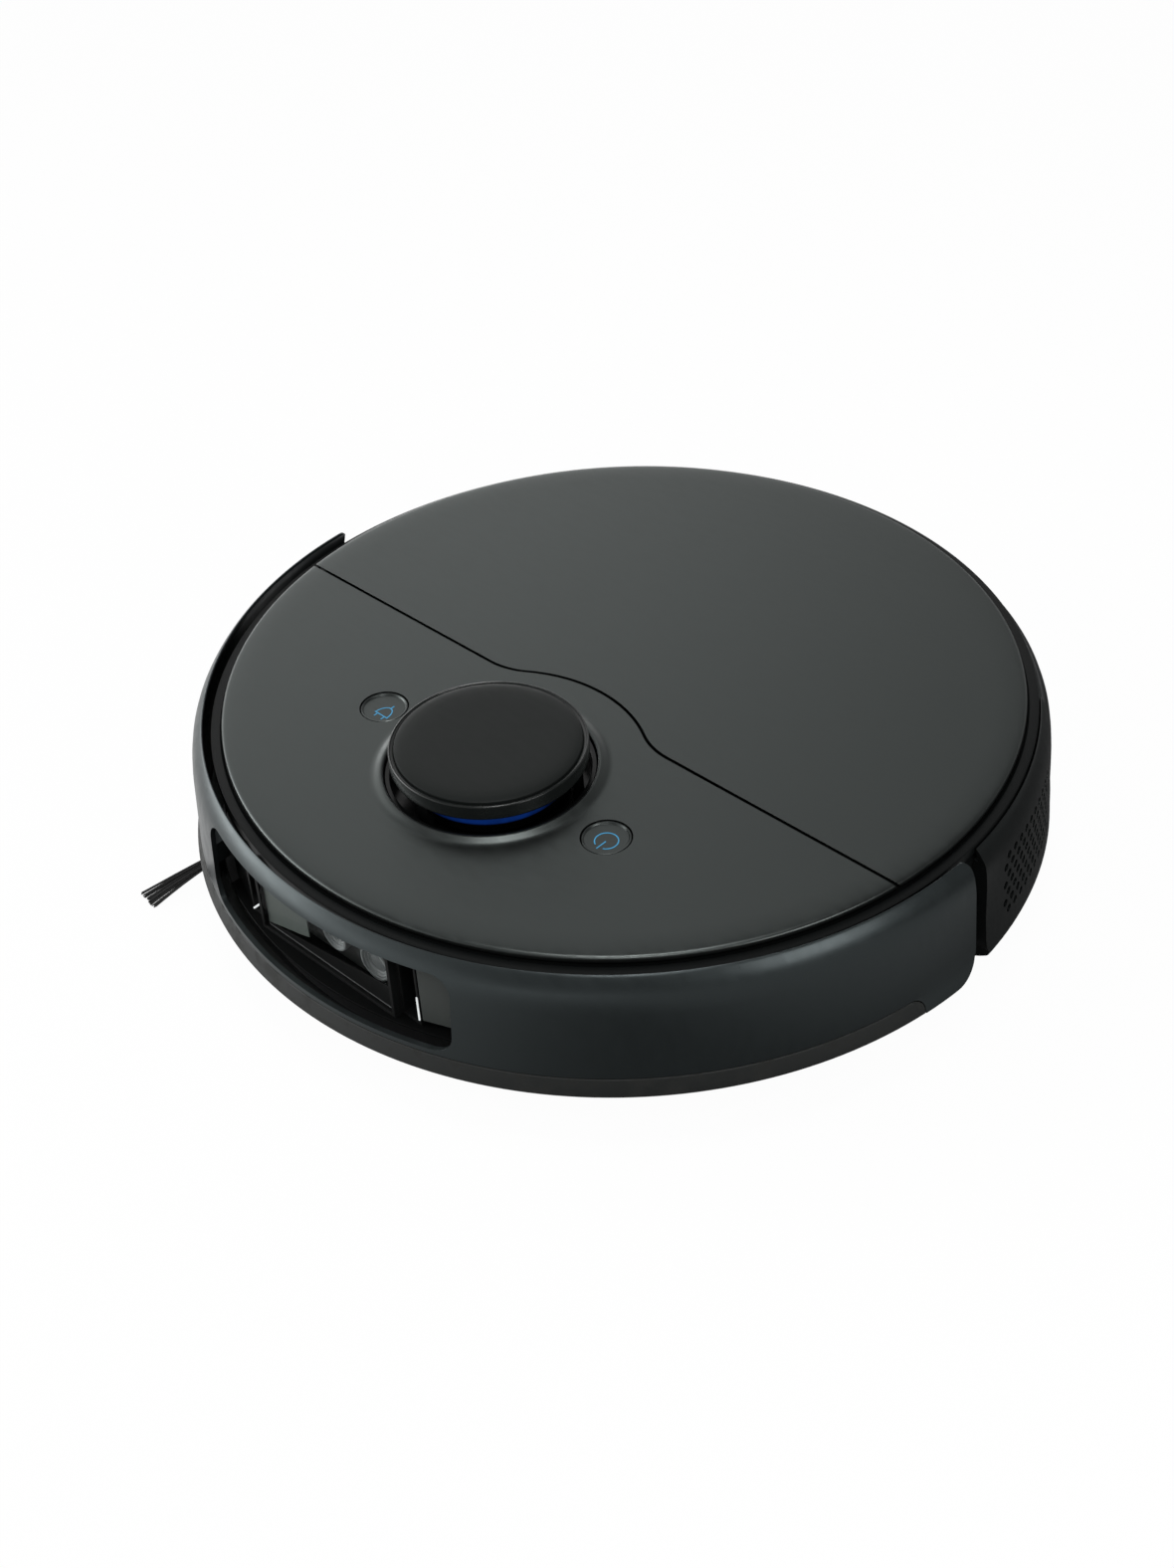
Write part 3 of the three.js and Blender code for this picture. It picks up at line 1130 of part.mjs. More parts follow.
function waterTank() {
  const y0 = TANK_Y + SEAM;
  const outer = common(bodySpace(), box(-SKIRT_R, SKIRT_R, y0, SKIRT_R, 0, COVER_TOP_Z));
  const hollow = revolve([
    [0, FLOOR_GAP + WALL_T],
    [RING_R - 3, FLOOR_GAP + WALL_T],
    [RING_R + 1, FLOOR_GAP + 9],
    [RING_R + 4.6, FLOOR_GAP + 16],
    [RING_R + 5.4, FLOOR_GAP + 22],
    [RING_R + 4.6, COVER_TOP_Z - 30],
    [RING_R + 2.4, COVER_TOP_Z - 15],
    [RING_R - 2, DECK_Z - FIT - WALL_T],
    [0, DECK_Z - FIT - WALL_T],
  ]);
  const room = box(-SKIRT_R, SKIRT_R, y0 + WALL_T, SKIRT_R, 0, COVER_TOP_Z);
  const inner = cut(common(hollow, room), fingerRecess(WALL_T));
  const backY = RING_R + 7 - RELEASE.depth;
  const { halfW, z0, z1 } = RELEASE;
  const surround = common(outer, box(-halfW - 3, halfW + 3, backY - 6, SKIRT_R, z0 - 3, z1 + 3));
  const pocket = box(-halfW - FIT, halfW + FIT, backY - 3 - FIT, SKIRT_R, z0 - FIT, z1 + FIT);
  const filler = rod("z", FILLER.r, DECK_Z - FIT - WALL_T - 1, DECK_Z, [FILLER.x, FILLER.y], 24);
  return cut(join(cut(outer, inner), surround), pocket, filler, fingerRecess(0));
}

function tankRelease() {
  const backY = RING_R + 7 - RELEASE.depth;
  const block = box(-RELEASE.halfW, RELEASE.halfW, backY, SKIRT_R, RELEASE.z0, RELEASE.z1);
  const grip = [-1, 0, 1].map((i) => box(-12, 12, RING_R + 6, SKIRT_R, 44.4 + 3 * i, 45.6 + 3 * i));
  return cut(common(block, bodySpace()), ...grip);
}

function tankPlug() {
  const top = DECK_Z - FIT - 0.2;
  return revolve(
    [[0, top - 3.6], [FILLER.r - 1.6, top - 3.6], [FILLER.r - FIT, top - 2.4], [FILLER.r - FIT, top], [5, top], [4, top - 0.9], [0, top - 0.9]],
    { x: FILLER.x, y: FILLER.y, facets: 24 },
  );
}

// ---------------------------------------------------------------- assembly

function assembleBody() {
  add("chassis_base", chassisBase(), DARK_GREY);
  add("deck_frame", deckFrame(), MATTE_BLACK);
  add("front_cover", frontCover(), SATIN_COVER);
  add("rear_lid", rearLid(), SATIN_COVER);
  for (const [name, side] of [["hinge_pin_left", 1], ["hinge_pin_right", -1]]) {
    const [a, b] = side > 0 ? [POCKET.x0, POCKET.x1] : [-POCKET.x1, -POCKET.x0];
    const pin = placed(0, HINGE.y, HINGE.z);
    add(name, rod("x", HINGE_PIN_R, a - 1.7, b + 1.7, [0, 0], 14), STEEL, pin);
  }
  const shell = sideShell();
  add("side_shell_left", cut(shell, ...grilleHoles()), SHELL_BLACK);
  add("side_shell_right", shell.mirror([1, 0, 0]), SHELL_BLACK);
}

function assembleBumper() {
  add("front_bumper", bumperShell(), BUMPER_BLACK);
  add("bumper_strip", bumperStrip(), MATTE_BLACK);
  add("bumper_spring_left", bumperSpring(1), STEEL);
  add("bumper_spring_right", bumperSpring(-1), STEEL);
}

function assembleCamera() {
  add("sensor_housing", sensorHousing(), MATTE_BLACK);
  const glass = box(-PANEL.halfW, PANEL.halfW, PANEL.y, PANEL.y + PANEL.t, CAMERA.floor + FIT, CAMERA.roof - FIT);
  add("sensor_glass", glass, SMOKED_GLASS);
  for (const [name, x, r] of LENSES) {
    const mesh = add(name, lensBarrel(r), LENS_GLASS, placed(x, CAMERA.back - FIT, LENS_Z));
    mesh.rotation.x = Math.PI / 2;
  }
}

function assembleLidar() {
  const turret = placed(0, LIDAR_Y, 0);
  add("lidar_base", lidarBase(), MATTE_BLACK);
  add("lidar_rotor", lidarRotor(), MATTE_BLACK, turret);
  add("lidar_cap", lidarCap(), CAP_BLACK, turret);
  add("lidar_cap_disc", lidarCapDisc(), CAP_BLACK, turret);
  const [dx, dy] = [LIDAR_MOTOR[0], LIDAR_MOTOR[1] - LIDAR_Y];
  const motor = placed(LIDAR_MOTOR[0], LIDAR_MOTOR[1], 0);
  const can = join(
    rod("z", 9.5, SPINDLE_PLATE_Z - 19, SPINDLE_PLATE_Z - FIT, [0, 0], MID),
    rod("z", 1.5, SPINDLE_PLATE_Z - 1, PULLEY_Z1 + 0.4, [0, 0], 12),
  );
  add("lidar_motor", can, STEEL, motor);
  const pulley = cut(rod("z", MOTOR_PULLEY_R, PULLEY_Z0, PULLEY_Z1), rod("z", 1.5 + FIT, PULLEY_Z0 - 1, PULLEY_Z1 + 1, [0, 0], 12));
  add("motor_pulley", pulley, MID_GREY, motor);
  const belt = beltLoop(PULLEY_R, MOTOR_PULLEY_R, Math.hypot(dx, dy), 1, PULLEY_Z0 + 0.9, PULLEY_Z1 - 0.4);
  const loop = add("lidar_belt", belt, RUBBER, turret);
  loop.rotation.z = Math.atan2(dy, dx);
}

function assembleButtons() {
  add("home_button", pushButton(), ICON_BUTTON, placed(-BUTTON_X, BUTTON_Y, 0));
  add("power_button", pushButton(), ICON_BUTTON, placed(BUTTON_X, BUTTON_Y, 0));
}

function assembleDrive(side, label) {
  const flip = (solid) => (side > 0 ? solid : solid.mirror([1, 0, 0]));
  const arm = placed(side * WELL.x0, ...ARM_PIVOT);
  add(`${label}_drive_arm`, flip(driveArm()), DARK_GREY, arm);
  const wheel = placed(side * WHEEL_X, 0, WHEEL_R);
  add(`${label}_wheel_hub`, flip(wheelHub()), MID_GREY, wheel);
  add(`${label}_tyre`, flip(tyre()), RUBBER, wheel);
  add(`${label}_drive_spring`, driveSpring(), STEEL, placed(side * SPRING.x, SPRING.y, 0));
}

function assembleCaster() {
  const caster = placed(0, CASTER_Y, 0);
  add("caster_fork", casterFork(), MID_GREY, caster);
  const wheel = placed(0, CASTER_TRAIL, CASTER_WHEEL_R, caster);
  add("caster_wheel", casterWheel(), RUBBER, wheel);
  const reach = Math.sqrt(CASTER_BODY_R ** 2 - (CASTER_TRAIL + 2) ** 2);
  add("caster_axle", rod("x", 1.5, -reach, reach, [0, 0], 14), STEEL, wheel);
}

function assembleBrushes() {
  const roller = placed(0, ROLLER_Y, ROLLER_Z);
  add("brush_roller", brushRoller(), RUBBER, roller);
  add("brush_shaft", brushShaft(), MID_GREY, roller);
  add("brush_gearbox", brushGearbox(), DARK_GREY);
  add("brush_cover", brushCover(), MATTE_BLACK);
  const side = placed(...SIDE_BRUSH, 0);
  add("side_brush_hub", sideBrushHub(), MID_GREY, side);
  [0, 120, 240].forEach((turn, i) => add(`side_brush_tuft_${i + 1}`, bristleTuft(turn), BRISTLE_BLACK, side));
  add("side_brush_gearbox", sideBrushGearbox(), DARK_GREY, side);
}

function assemblePower() {
  add("battery_pack", batteryPack(), CELL_BLUE);
  add("battery_cover", batteryCover(), DARK_GREY);
  add("main_board", mainBoard(), BOARD_GREEN);
  for (const [name, side] of [["charge_contact_left", 1], ["charge_contact_right", -1]]) {
    const { w, d, t } = CONTACT;
    const plate = prism(roundedRectangle(w, d, 2), FLOOR_GAP, FLOOR_GAP + t, 4);
    add(name, plate, COPPER, placed(side * CONTACT.x, CONTACT.y, 0));
  }
  const window = strip(CLIFF.r0, CLIFF.r1, CLIFF.from, CLIFF.to, FLOOR_GAP, FLOOR_GAP + CLIFF.t);
  add("cliff_window_left", window, SMOKED_GLASS);
  add("cliff_window_right", window.mirror([1, 0, 0]), SMOKED_GLASS);
}

function assembleDust() {
  add("dust_box", dustBox(), CLEAR_SMOKE);
  add("dust_filter", dustFilter(), FILTER_WHITE);
  add("fan_housing", fanHousing(), MID_GREY);
  add("fan_impeller", fanImpeller(), MID_GREY, placed(FAN.x, FAN.y, 0));
  add("water_tank", waterTank(), SHELL_BLACK);
  add("tank_release", tankRelease(), SHELL_BLACK);
  add("tank_plug", tankPlug(), RUBBER);
}

assembleBody();
assembleBumper();
assembleCamera();
assembleLidar();
assembleButtons();
assembleDrive(1, "left");
assembleDrive(-1, "right");
assembleCaster();
assembleBrushes();
assemblePower();
assembleDust();

export default robot;
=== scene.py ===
"""Looks of a robot vacuum cleaner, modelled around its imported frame.

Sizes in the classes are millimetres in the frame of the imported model: +Z is up, the floor is z = 0, the
robot drives towards -Y, and the origin is on the floor under the centre of its round covers.
"""

import logging
import math
import random
from collections.abc import Callable, Iterator, Sequence
from contextlib import contextmanager
from dataclasses import dataclass
from enum import Enum
from typing import Any

import bpy
from mathutils import Euler, Matrix, Vector


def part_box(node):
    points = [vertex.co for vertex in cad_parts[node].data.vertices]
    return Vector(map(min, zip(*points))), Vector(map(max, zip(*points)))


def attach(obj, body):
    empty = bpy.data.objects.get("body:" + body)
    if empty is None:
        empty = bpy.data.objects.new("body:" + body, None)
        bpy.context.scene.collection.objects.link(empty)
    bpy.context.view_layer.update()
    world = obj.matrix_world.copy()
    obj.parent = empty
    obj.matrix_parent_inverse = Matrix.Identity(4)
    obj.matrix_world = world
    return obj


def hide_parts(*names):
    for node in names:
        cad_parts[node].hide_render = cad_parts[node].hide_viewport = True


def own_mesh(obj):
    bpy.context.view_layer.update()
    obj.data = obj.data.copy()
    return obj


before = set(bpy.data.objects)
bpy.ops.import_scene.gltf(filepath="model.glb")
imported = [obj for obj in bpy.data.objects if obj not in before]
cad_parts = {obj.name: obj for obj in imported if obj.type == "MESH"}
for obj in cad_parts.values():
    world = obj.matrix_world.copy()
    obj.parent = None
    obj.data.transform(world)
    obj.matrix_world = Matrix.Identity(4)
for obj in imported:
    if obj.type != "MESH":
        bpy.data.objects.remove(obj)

MM = 0.001  # a millimetre in metres
FINE = 240  # facets round the body's large circles
ROUND = 96  # facets round the turret, the wheels and the buttons
SMALL = 32  # facets round screws, pins and shafts
WELD = 2e-6  # points closer than this are one point, in metres
FAR = 190.0  # past the body on every side, for tools that cut right across it, millimetres
TALL = (0.0, 80.0)  # from the floor to above the covers, likewise

Pair = tuple[float, float]
Triple = tuple[float, float, float]
Value = Any
Owner = bpy.types.Material | bpy.types.World

TURRET_Y = -72.4  # y of the turret's axis
TURRET_HOLE = 40.6  # radius of the hole in the cover round the turret
BUTTON: Triple = (59.8, -72.2, 9.3)  # x and y of a button's stem, and the radius of its cap
BUTTON_SHIFT = 1.3  # how far a button's cap stands from its stem, towards both +X and -Y
SIDE_BRUSH: Pair = (-100.98, -96.97)  # x and y of the side brush's axis
HOOK_ANGLES = (-20, -60, -120, -160)  # where the bumper's hooks reach through the deck's wall, degrees
WHITE = (1.0, 1.0, 1.0, 1.0)

# Radius and height of the body's outside behind the bumper, from its lower edge up
BODY: list[Pair] = [
    (163.0, 12.2), (166.4, 14.2), (169.2, 16.2), (170.2, 17.2), (170.5, 18.2), (170.4, 20), (170.1, 24),
    (169.8, 30), (169.4, 34), (169.1, 38), (168.8, 46), (168.5, 52), (168.0, 57), (167.4, 60.8),
    (166.4, 63.6), (165.1, 66.2), (163.8, 68.2), (163.2, 68.55)
]

log = logging.getLogger("robot")


# ---------------------------------------------------------------- outlines


def arc(centre: Pair, radius: float, start: float, end: float, steps: int) -> list[Pair]:
    """Points along an arc.

    Args:
        centre: middle of the arc's circle.
        radius: radius of the circle.
        start: angle of the first point, degrees.
        end: angle of the last point, degrees.
        steps: number of stretches between points.

    Returns:
        The points, one more than there are steps.
    """
    angles = [math.radians(start + (end - start) * i / steps) for i in range(steps + 1)]
    return [(centre[0] + radius * math.cos(a), centre[1] + radius * math.sin(a)) for a in angles]


def rounded_rectangle(
    width: float, height: float, radius: float, centre: Pair = (0.0, 0.0), steps: int = 6
) -> list[Pair]:
    """Outline of a rectangle with round corners, anticlockwise.

    Args:
        width: size along the first axis.
        height: size along the second axis.
        radius: radius of the corners.
        centre: middle of the rectangle.
        steps: stretches in each corner.

    Returns:
        The points of the outline.
    """
    x, y = width / 2 - radius, height / 2 - radius
    points: list[Pair] = []
    for sx, sy, start in ((1, 1, 0), (-1, 1, 90), (-1, -1, 180), (1, -1, 270)):
        points += arc((centre[0] + sx * x, centre[1] + sy * y), radius, start, start + 90, steps)
    return points


# ---------------------------------------------------------------- solids shaped by operators


class Form:
    """A solid in the making, which Blender's own operators shape."""

    def __init__(self, obj: bpy.types.Object) -> None:
        """Takes an object as the solid to shape."""
        self.obj = obj

    def alone(self) -> None:
        """Makes this the only selected object and the active one."""
        bpy.ops.object.select_all(action="DESELECT")
        self.obj.select_set(True)
        bpy.context.view_layer.objects.active = self.obj

    @contextmanager
    def editing(self, action: str = "SELECT") -> Iterator[None]:
        """Edit mode on this solid alone.

        Args:
            action: SELECT or DESELECT for the whole mesh, or KEEP for the selection that is there.
        """
        self.alone()
        bpy.ops.object.mode_set(mode="EDIT")
        if action != "KEEP":
            bpy.ops.mesh.select_all(action=action)
        yield
        bpy.ops.object.mode_set(mode="OBJECT")

    def pick_faces(self, test: Callable[[Vector, Vector], bool]) -> None:
        """Selects the faces whose middle and normal pass the test, for the next edit.

        Args:
            test: says of a face's middle, in millimetres, and its normal whether it is picked.
        """
        bpy.context.tool_settings.mesh_select_mode = (False, False, True)
        with self.editing("DESELECT"):
            pass
        mesh = self.obj.data
        for face in mesh.polygons:
            if test(face.center / MM, face.normal):
                face.select = True
                for i in face.vertices:
                    mesh.vertices[i].select = True

    def settle(self) -> "Form":
        """Applies the object's place, turn and scale to its mesh."""
        self.alone()
        bpy.ops.object.transform_apply(location=True, rotation=True, scale=True)
        return self

    def moved(self, x: float = 0.0, y: float = 0.0, z: float = 0.0) -> "Form":
        """Moves the solid by millimetres."""
        self.obj.location = Vector((x, y, z)) * MM
        return self.settle()

    def rotated(self, degrees: float, axis: str = "Z", pivot: Triple = (0.0, 0.0, 0.0)) -> "Form":
        """Turns the solid about an axis.

        Args:
            degrees: angle of the turn.
            axis: X, Y or Z.
            pivot: a point on the axis.

        Returns:
            The solid itself.
        """
        centre = Matrix.Translation(Vector(pivot) * MM)
        self.obj.matrix_world = centre @ Matrix.Rotation(math.radians(degrees), 4, axis) @ centre.inverted()
        return self.settle()

    def mirrored(self) -> "Form":
        """Mirrors the solid to the other side of the robot."""
        self.obj.scale.x = -1
        self.settle()
        return self.outwards()

    def outwards(self) -> "Form":
        """Merges double points and turns every face outwards."""
        with self.editing():
            bpy.ops.mesh.remove_doubles(threshold=WELD)
            bpy.ops.mesh.normals_make_consistent(inside=False)
        return self

    def copy(self) -> "Form":
        """A second solid like this one, with a mesh of its own."""
        obj = self.obj.copy()
        obj.data = self.obj.data.copy()
        bpy.context.scene.collection.objects.link(obj)
        return Form(obj)

    def modify(self, kind: str, **settings: Value) -> "Form":
        """Adds a modifier and applies it.

        Args:
            kind: the modifier's type.
            settings: values of its settings.

        Returns:
            The solid itself.
        """
        modifier = self.obj.modifiers.new(kind.lower(), kind)
        for key, value in settings.items():
            setattr(modifier, key, value)
        self.alone()
        bpy.ops.object.modifier_apply(modifier=modifier.name)
        return self

    def combine(self, operation: str, others: Sequence["Form"]) -> "Form":
        """Adds, cuts or keeps what is common, one tool after the other, and uses the tools up.

        Args:
            operation: UNION, DIFFERENCE or INTERSECT.
            others: the tools.

        Returns:
            The solid itself.
        """
        for other in others:
            before = len(self.obj.data.vertices)
            self.modify("BOOLEAN", operation=operation, object=other.obj, solver="MANIFOLD")
            if len(self.obj.data.vertices) == before:
                self.modify("BOOLEAN", operation=operation, object=other.obj, solver="EXACT")
            other.discard()
        return self

    def join(self, *others: "Form") -> "Form":
        """Adds other solids to this one."""
        return self.combine("UNION", others)

    def cut(self, *others: "Form") -> "Form":
        """Cuts other solids out of this one."""
        return self.combine("DIFFERENCE", others)

    def within(self, *others: "Form") -> "Form":
        """Keeps what lies inside each of the other solids."""
        return self.combine("INTERSECT", others)

    def gather(self, *others: "Form") -> "Form":
        """Takes other meshes into this object as they are."""
        self.alone()
        for other in others:
            other.obj.select_set(True)
        bpy.ops.object.join()
        return self

    def discard(self) -> None:
        """Removes the solid."""
        bpy.data.objects.remove(self.obj)

    def weld(self, distance: float = 0.02) -> "Form":
        """Merges points closer than a distance in millimetres, such as a boolean leaves."""
        with self.editing():
            bpy.ops.mesh.remove_doubles(threshold=distance * MM)
            bpy.ops.mesh.dissolve_degenerate(threshold=distance * MM / 2)
        return self

    def parted(self) -> "Form":
        """Parts each face of more than four points into triangles, so that rounding can't fold it over."""
        bpy.context.tool_settings.mesh_select_mode = (False, False, True)
        with self.editing("DESELECT"):
            bpy.ops.mesh.select_face_by_sides(number=4, type="GREATER")
            bpy.ops.mesh.quads_convert_to_tris(quad_method="BEAUTY", ngon_method="BEAUTY")
        return self

    def soften(self, width: float, segments: int = 2, angle: float = 32.0) -> "Form":
        """Rounds every sharp edge.

        Args:
            width: width of the rounding.
            segments: facets across it.
            angle: edges sharper than this are rounded, degrees.

        Returns:
            The solid itself.
        """
        return self.modify(
            "BEVEL",
            width=width * MM,
            segments=segments,
            limit_method="ANGLE",
            angle_limit=math.radians(angle),
            use_clamp_overlap=True,
            miter_outer="MITER_ARC",
        )


def loop(points: Sequence[Triple]) -> Form:
    """A closed loop of edges through points, from a circle primitive.

    Args:
        points: the points in millimetres, three or more.

    Returns:
        The loop.
    """
    bpy.ops.object.select_all(action="DESELECT")
    bpy.ops.mesh.primitive_circle_add(vertices=len(points), radius=MM)
    form = Form(bpy.context.object)
    for vertex, point in zip(form.obj.data.vertices, points):
        vertex.co = Vector(point) * MM
    return form


def turned(profile: Sequence[Pair], facets: int = FINE, centre: Pair = (0.0, 0.0)) -> Form:
    """A solid turned on a lathe about an upright axis.

    Args:
        profile: radius and height of each point; it starts and ends at radius 0 where the solid is closed
            by flat ends, and otherwise is a closed loop.
        facets: facets round the circle.
        centre: x and y of the axis.

    Returns:
        The solid.
    """
    capped = profile[0][0] == 0
    form = loop([(r, 0.0, z) for r, z in profile if r > 0])
    mesh = form.obj.data
    last = len(mesh.vertices) - 1
    if capped:
        bpy.context.tool_settings.mesh_select_mode = (False, True, False)
        with form.editing("DESELECT"):
            pass
        for edge in mesh.edges:
            edge.select = set(edge.vertices) == {0, last}
        with form.editing("KEEP"):
            bpy.ops.mesh.delete(type="EDGE")
    with form.editing():
        bpy.ops.mesh.spin(steps=facets, angle=math.tau, center=(0, 0, 0), axis=(0, 0, 1), use_auto_merge=True)
        bpy.ops.mesh.select_all(action="SELECT")
        bpy.ops.mesh.remove_doubles(threshold=WELD)
        if capped:
            bpy.ops.mesh.fill_holes(sides=0)
    return form.outwards().moved(*centre)


def prism(outline: Sequence[Pair], z0: float, z1: float, lean: Pair = (0.0, 0.0)) -> Form:
    """An upright prism.

    Args:
        outline: points of the outline.
        z0: lower end.
        z1: upper end.
        lean: how far the upper end is shifted along x and y.

    Returns:
        The solid.
    """
    form = loop([(x, y, z0) for x, y in outline])
    with form.editing():
        bpy.ops.mesh.edge_face_add()
        rise = (lean[0] * MM, lean[1] * MM, (z1 - z0) * MM)
        bpy.ops.mesh.extrude_region_move(TRANSFORM_OT_translate={"value": rise})
    return form.outwards()


def standing(outline: Sequence[Pair], y0: float, y1: float) -> Form:
    """A prism along Y over an outline of x and z."""
    return prism([(x, z) for x, z in outline], -y1, -y0).rotated(90, "X")


def sideways(outline: Sequence[Pair], x0: float, x1: float) -> Form:
    """A prism along X over an outline of y and z."""
    return prism(outline, x0, x1).rotated(90, "X").rotated(90, "Z")


def block(x: Pair, y: Pair, z: Pair) -> Form:
    """A rectangular block between two values on each axis."""
    bpy.ops.object.select_all(action="DESELECT")
    bpy.ops.mesh.primitive_cube_add(size=1)
    form = Form(bpy.context.object)
    form.obj.scale = Vector((x[1] - x[0], y[1] - y[0], z[1] - z[0])) * MM
    form.obj.location = Vector((x[0] + x[1], y[0] + y[1], z[0] + z[1])) * MM / 2
    return form.settle()


def rod(axis: str, radius: float, ends: Pair, at: Pair = (0.0, 0.0), facets: int = SMALL) -> Form:
    """A round rod.

    Args:
        axis: X, Y or Z.
        radius: radius of the rod.
        ends: where it starts and ends along the axis.
        at: its place on the other two axes, in the order x, y, z.
        facets: facets round it.

    Returns:
        The solid.
    """
    circle = arc((0.0, 0.0), radius, 0, 360, facets)[:-1]
    form = prism(circle, *ends)
    if axis == "Z":
        return form.moved(at[0], at[1])
    if axis == "Y":
        return form.rotated(-90, "X").moved(at[0], 0, at[1])
    return form.rotated(90, "Y").moved(0, *at)


def from_cad(node: str, edge: float = 0.25) -> Form:
    """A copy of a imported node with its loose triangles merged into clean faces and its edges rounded.

    Args:
        node: name of the node.
        edge: width of the rounding of its edges, or 0 for none.

    Returns:
        The copy, free of the frame's own marks.
    """
    form = Form(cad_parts[node]).copy()
    obj = form.obj
    obj.parent = None
    obj.matrix_world = Matrix.Identity(4)
    for key in [key for key in obj.keys() if key.startswith("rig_")]:
        del obj[key]
    obj.data.materials.clear()
    with form.editing():
        bpy.ops.mesh.customdata_custom_splitnormals_clear()
        bpy.ops.mesh.remove_doubles(threshold=WELD)
        bpy.ops.mesh.dissolve_limited(angle_limit=math.radians(0.6))
    if edge:
        form.parted().soften(edge, 2)
    return form


def coil(radius: float, wire_radius: float, ends: Pair, turns: float, at: Pair) -> Form:
    """A coil spring about an upright axis, from a round section spun along a screw.

    Args:
        radius: radius of the coil's middle line.
        wire_radius: radius of the wire.
        ends: lower and upper end.
        turns: number of turns.
        at: x and y of the axis.

    Returns:
        The spring.
    """
    rise = ends[1] - ends[0] - 2 * wire_radius
    section = [
        (radius + x, 0.0, ends[0] + wire_radius + z) for x, z in arc((0, 0), wire_radius, 0, 360, 8)[:-1]
    ]
    form = loop(section)
    form.modify(
        "SCREW",
        angle=math.tau * turns,
        screw_offset=rise * MM,
        steps=round(28 * turns),
        render_steps=round(28 * turns),
        use_merge_vertices=False,
    )
    with form.editing():
        bpy.ops.mesh.fill_holes(sides=0)
    return form.outwards().moved(*at)


# ---------------------------------------------------------------- materials


class Wire:
    """A value in a material's nodes, which Python's operators work on."""

    def __init__(self, tree: "Tree", socket: bpy.types.NodeSocket) -> None:
        """Wraps an output socket of a node in a tree."""
        self.tree = tree
        self.socket = socket

    def math(self, operation: str, *values: Value) -> "Wire":
        """The result of one Math node on the values."""
        node = self.tree.node("ShaderNodeMath", {"operation": operation}, dict(enumerate(values)))
        return Wire(self.tree, node.outputs[0])

    def __add__(self, other: Value) -> "Wire":
        """Sum with a value or a number."""
        return self.math("ADD", self, other)

    def __radd__(self, other: Value) -> "Wire":
        """Sum with a number on the left."""
        return self.math("ADD", other, self)

    def __sub__(self, other: Value) -> "Wire":
        """Difference from a value or a number."""
        return self.math("SUBTRACT", self, other)

    def __rsub__(self, other: Value) -> "Wire":
        """Difference with a number on the left."""
        return self.math("SUBTRACT", other, self)

    def __mul__(self, other: Value) -> "Wire":
        """Product with a value or a number."""
        return self.math("MULTIPLY", self, other)

    def __rmul__(self, other: Value) -> "Wire":
        """Product with a number on the left."""
        return self.math("MULTIPLY", other, self)

    def __truediv__(self, other: Value) -> "Wire":
        """Quotient by a value or a number."""
        return self.math("DIVIDE", self, other)

    def __pow__(self, other: Value) -> "Wire":
        """Power of a value."""
        return self.math("POWER", self, other)

    def ramp(self, low: float, high: float, start: float = 0.0, end: float = 1.0) -> "Wire":
        """The value led smoothly from start at low to end at high.

        Args:
            low: value at which the result is start.
            high: value at which the result is end.
            start: result at the low end and below.
            end: result at the high end and above.

        Returns:
            The result.
        """
        settings = {"interpolation_type": "SMOOTHSTEP"}
        sockets = {"Value": self, "From Min": low, "From Max": high, "To Min": start, "To Max": end}
        return Wire(self.tree, self.tree.node("ShaderNodeMapRange", settings, sockets).outputs[0])


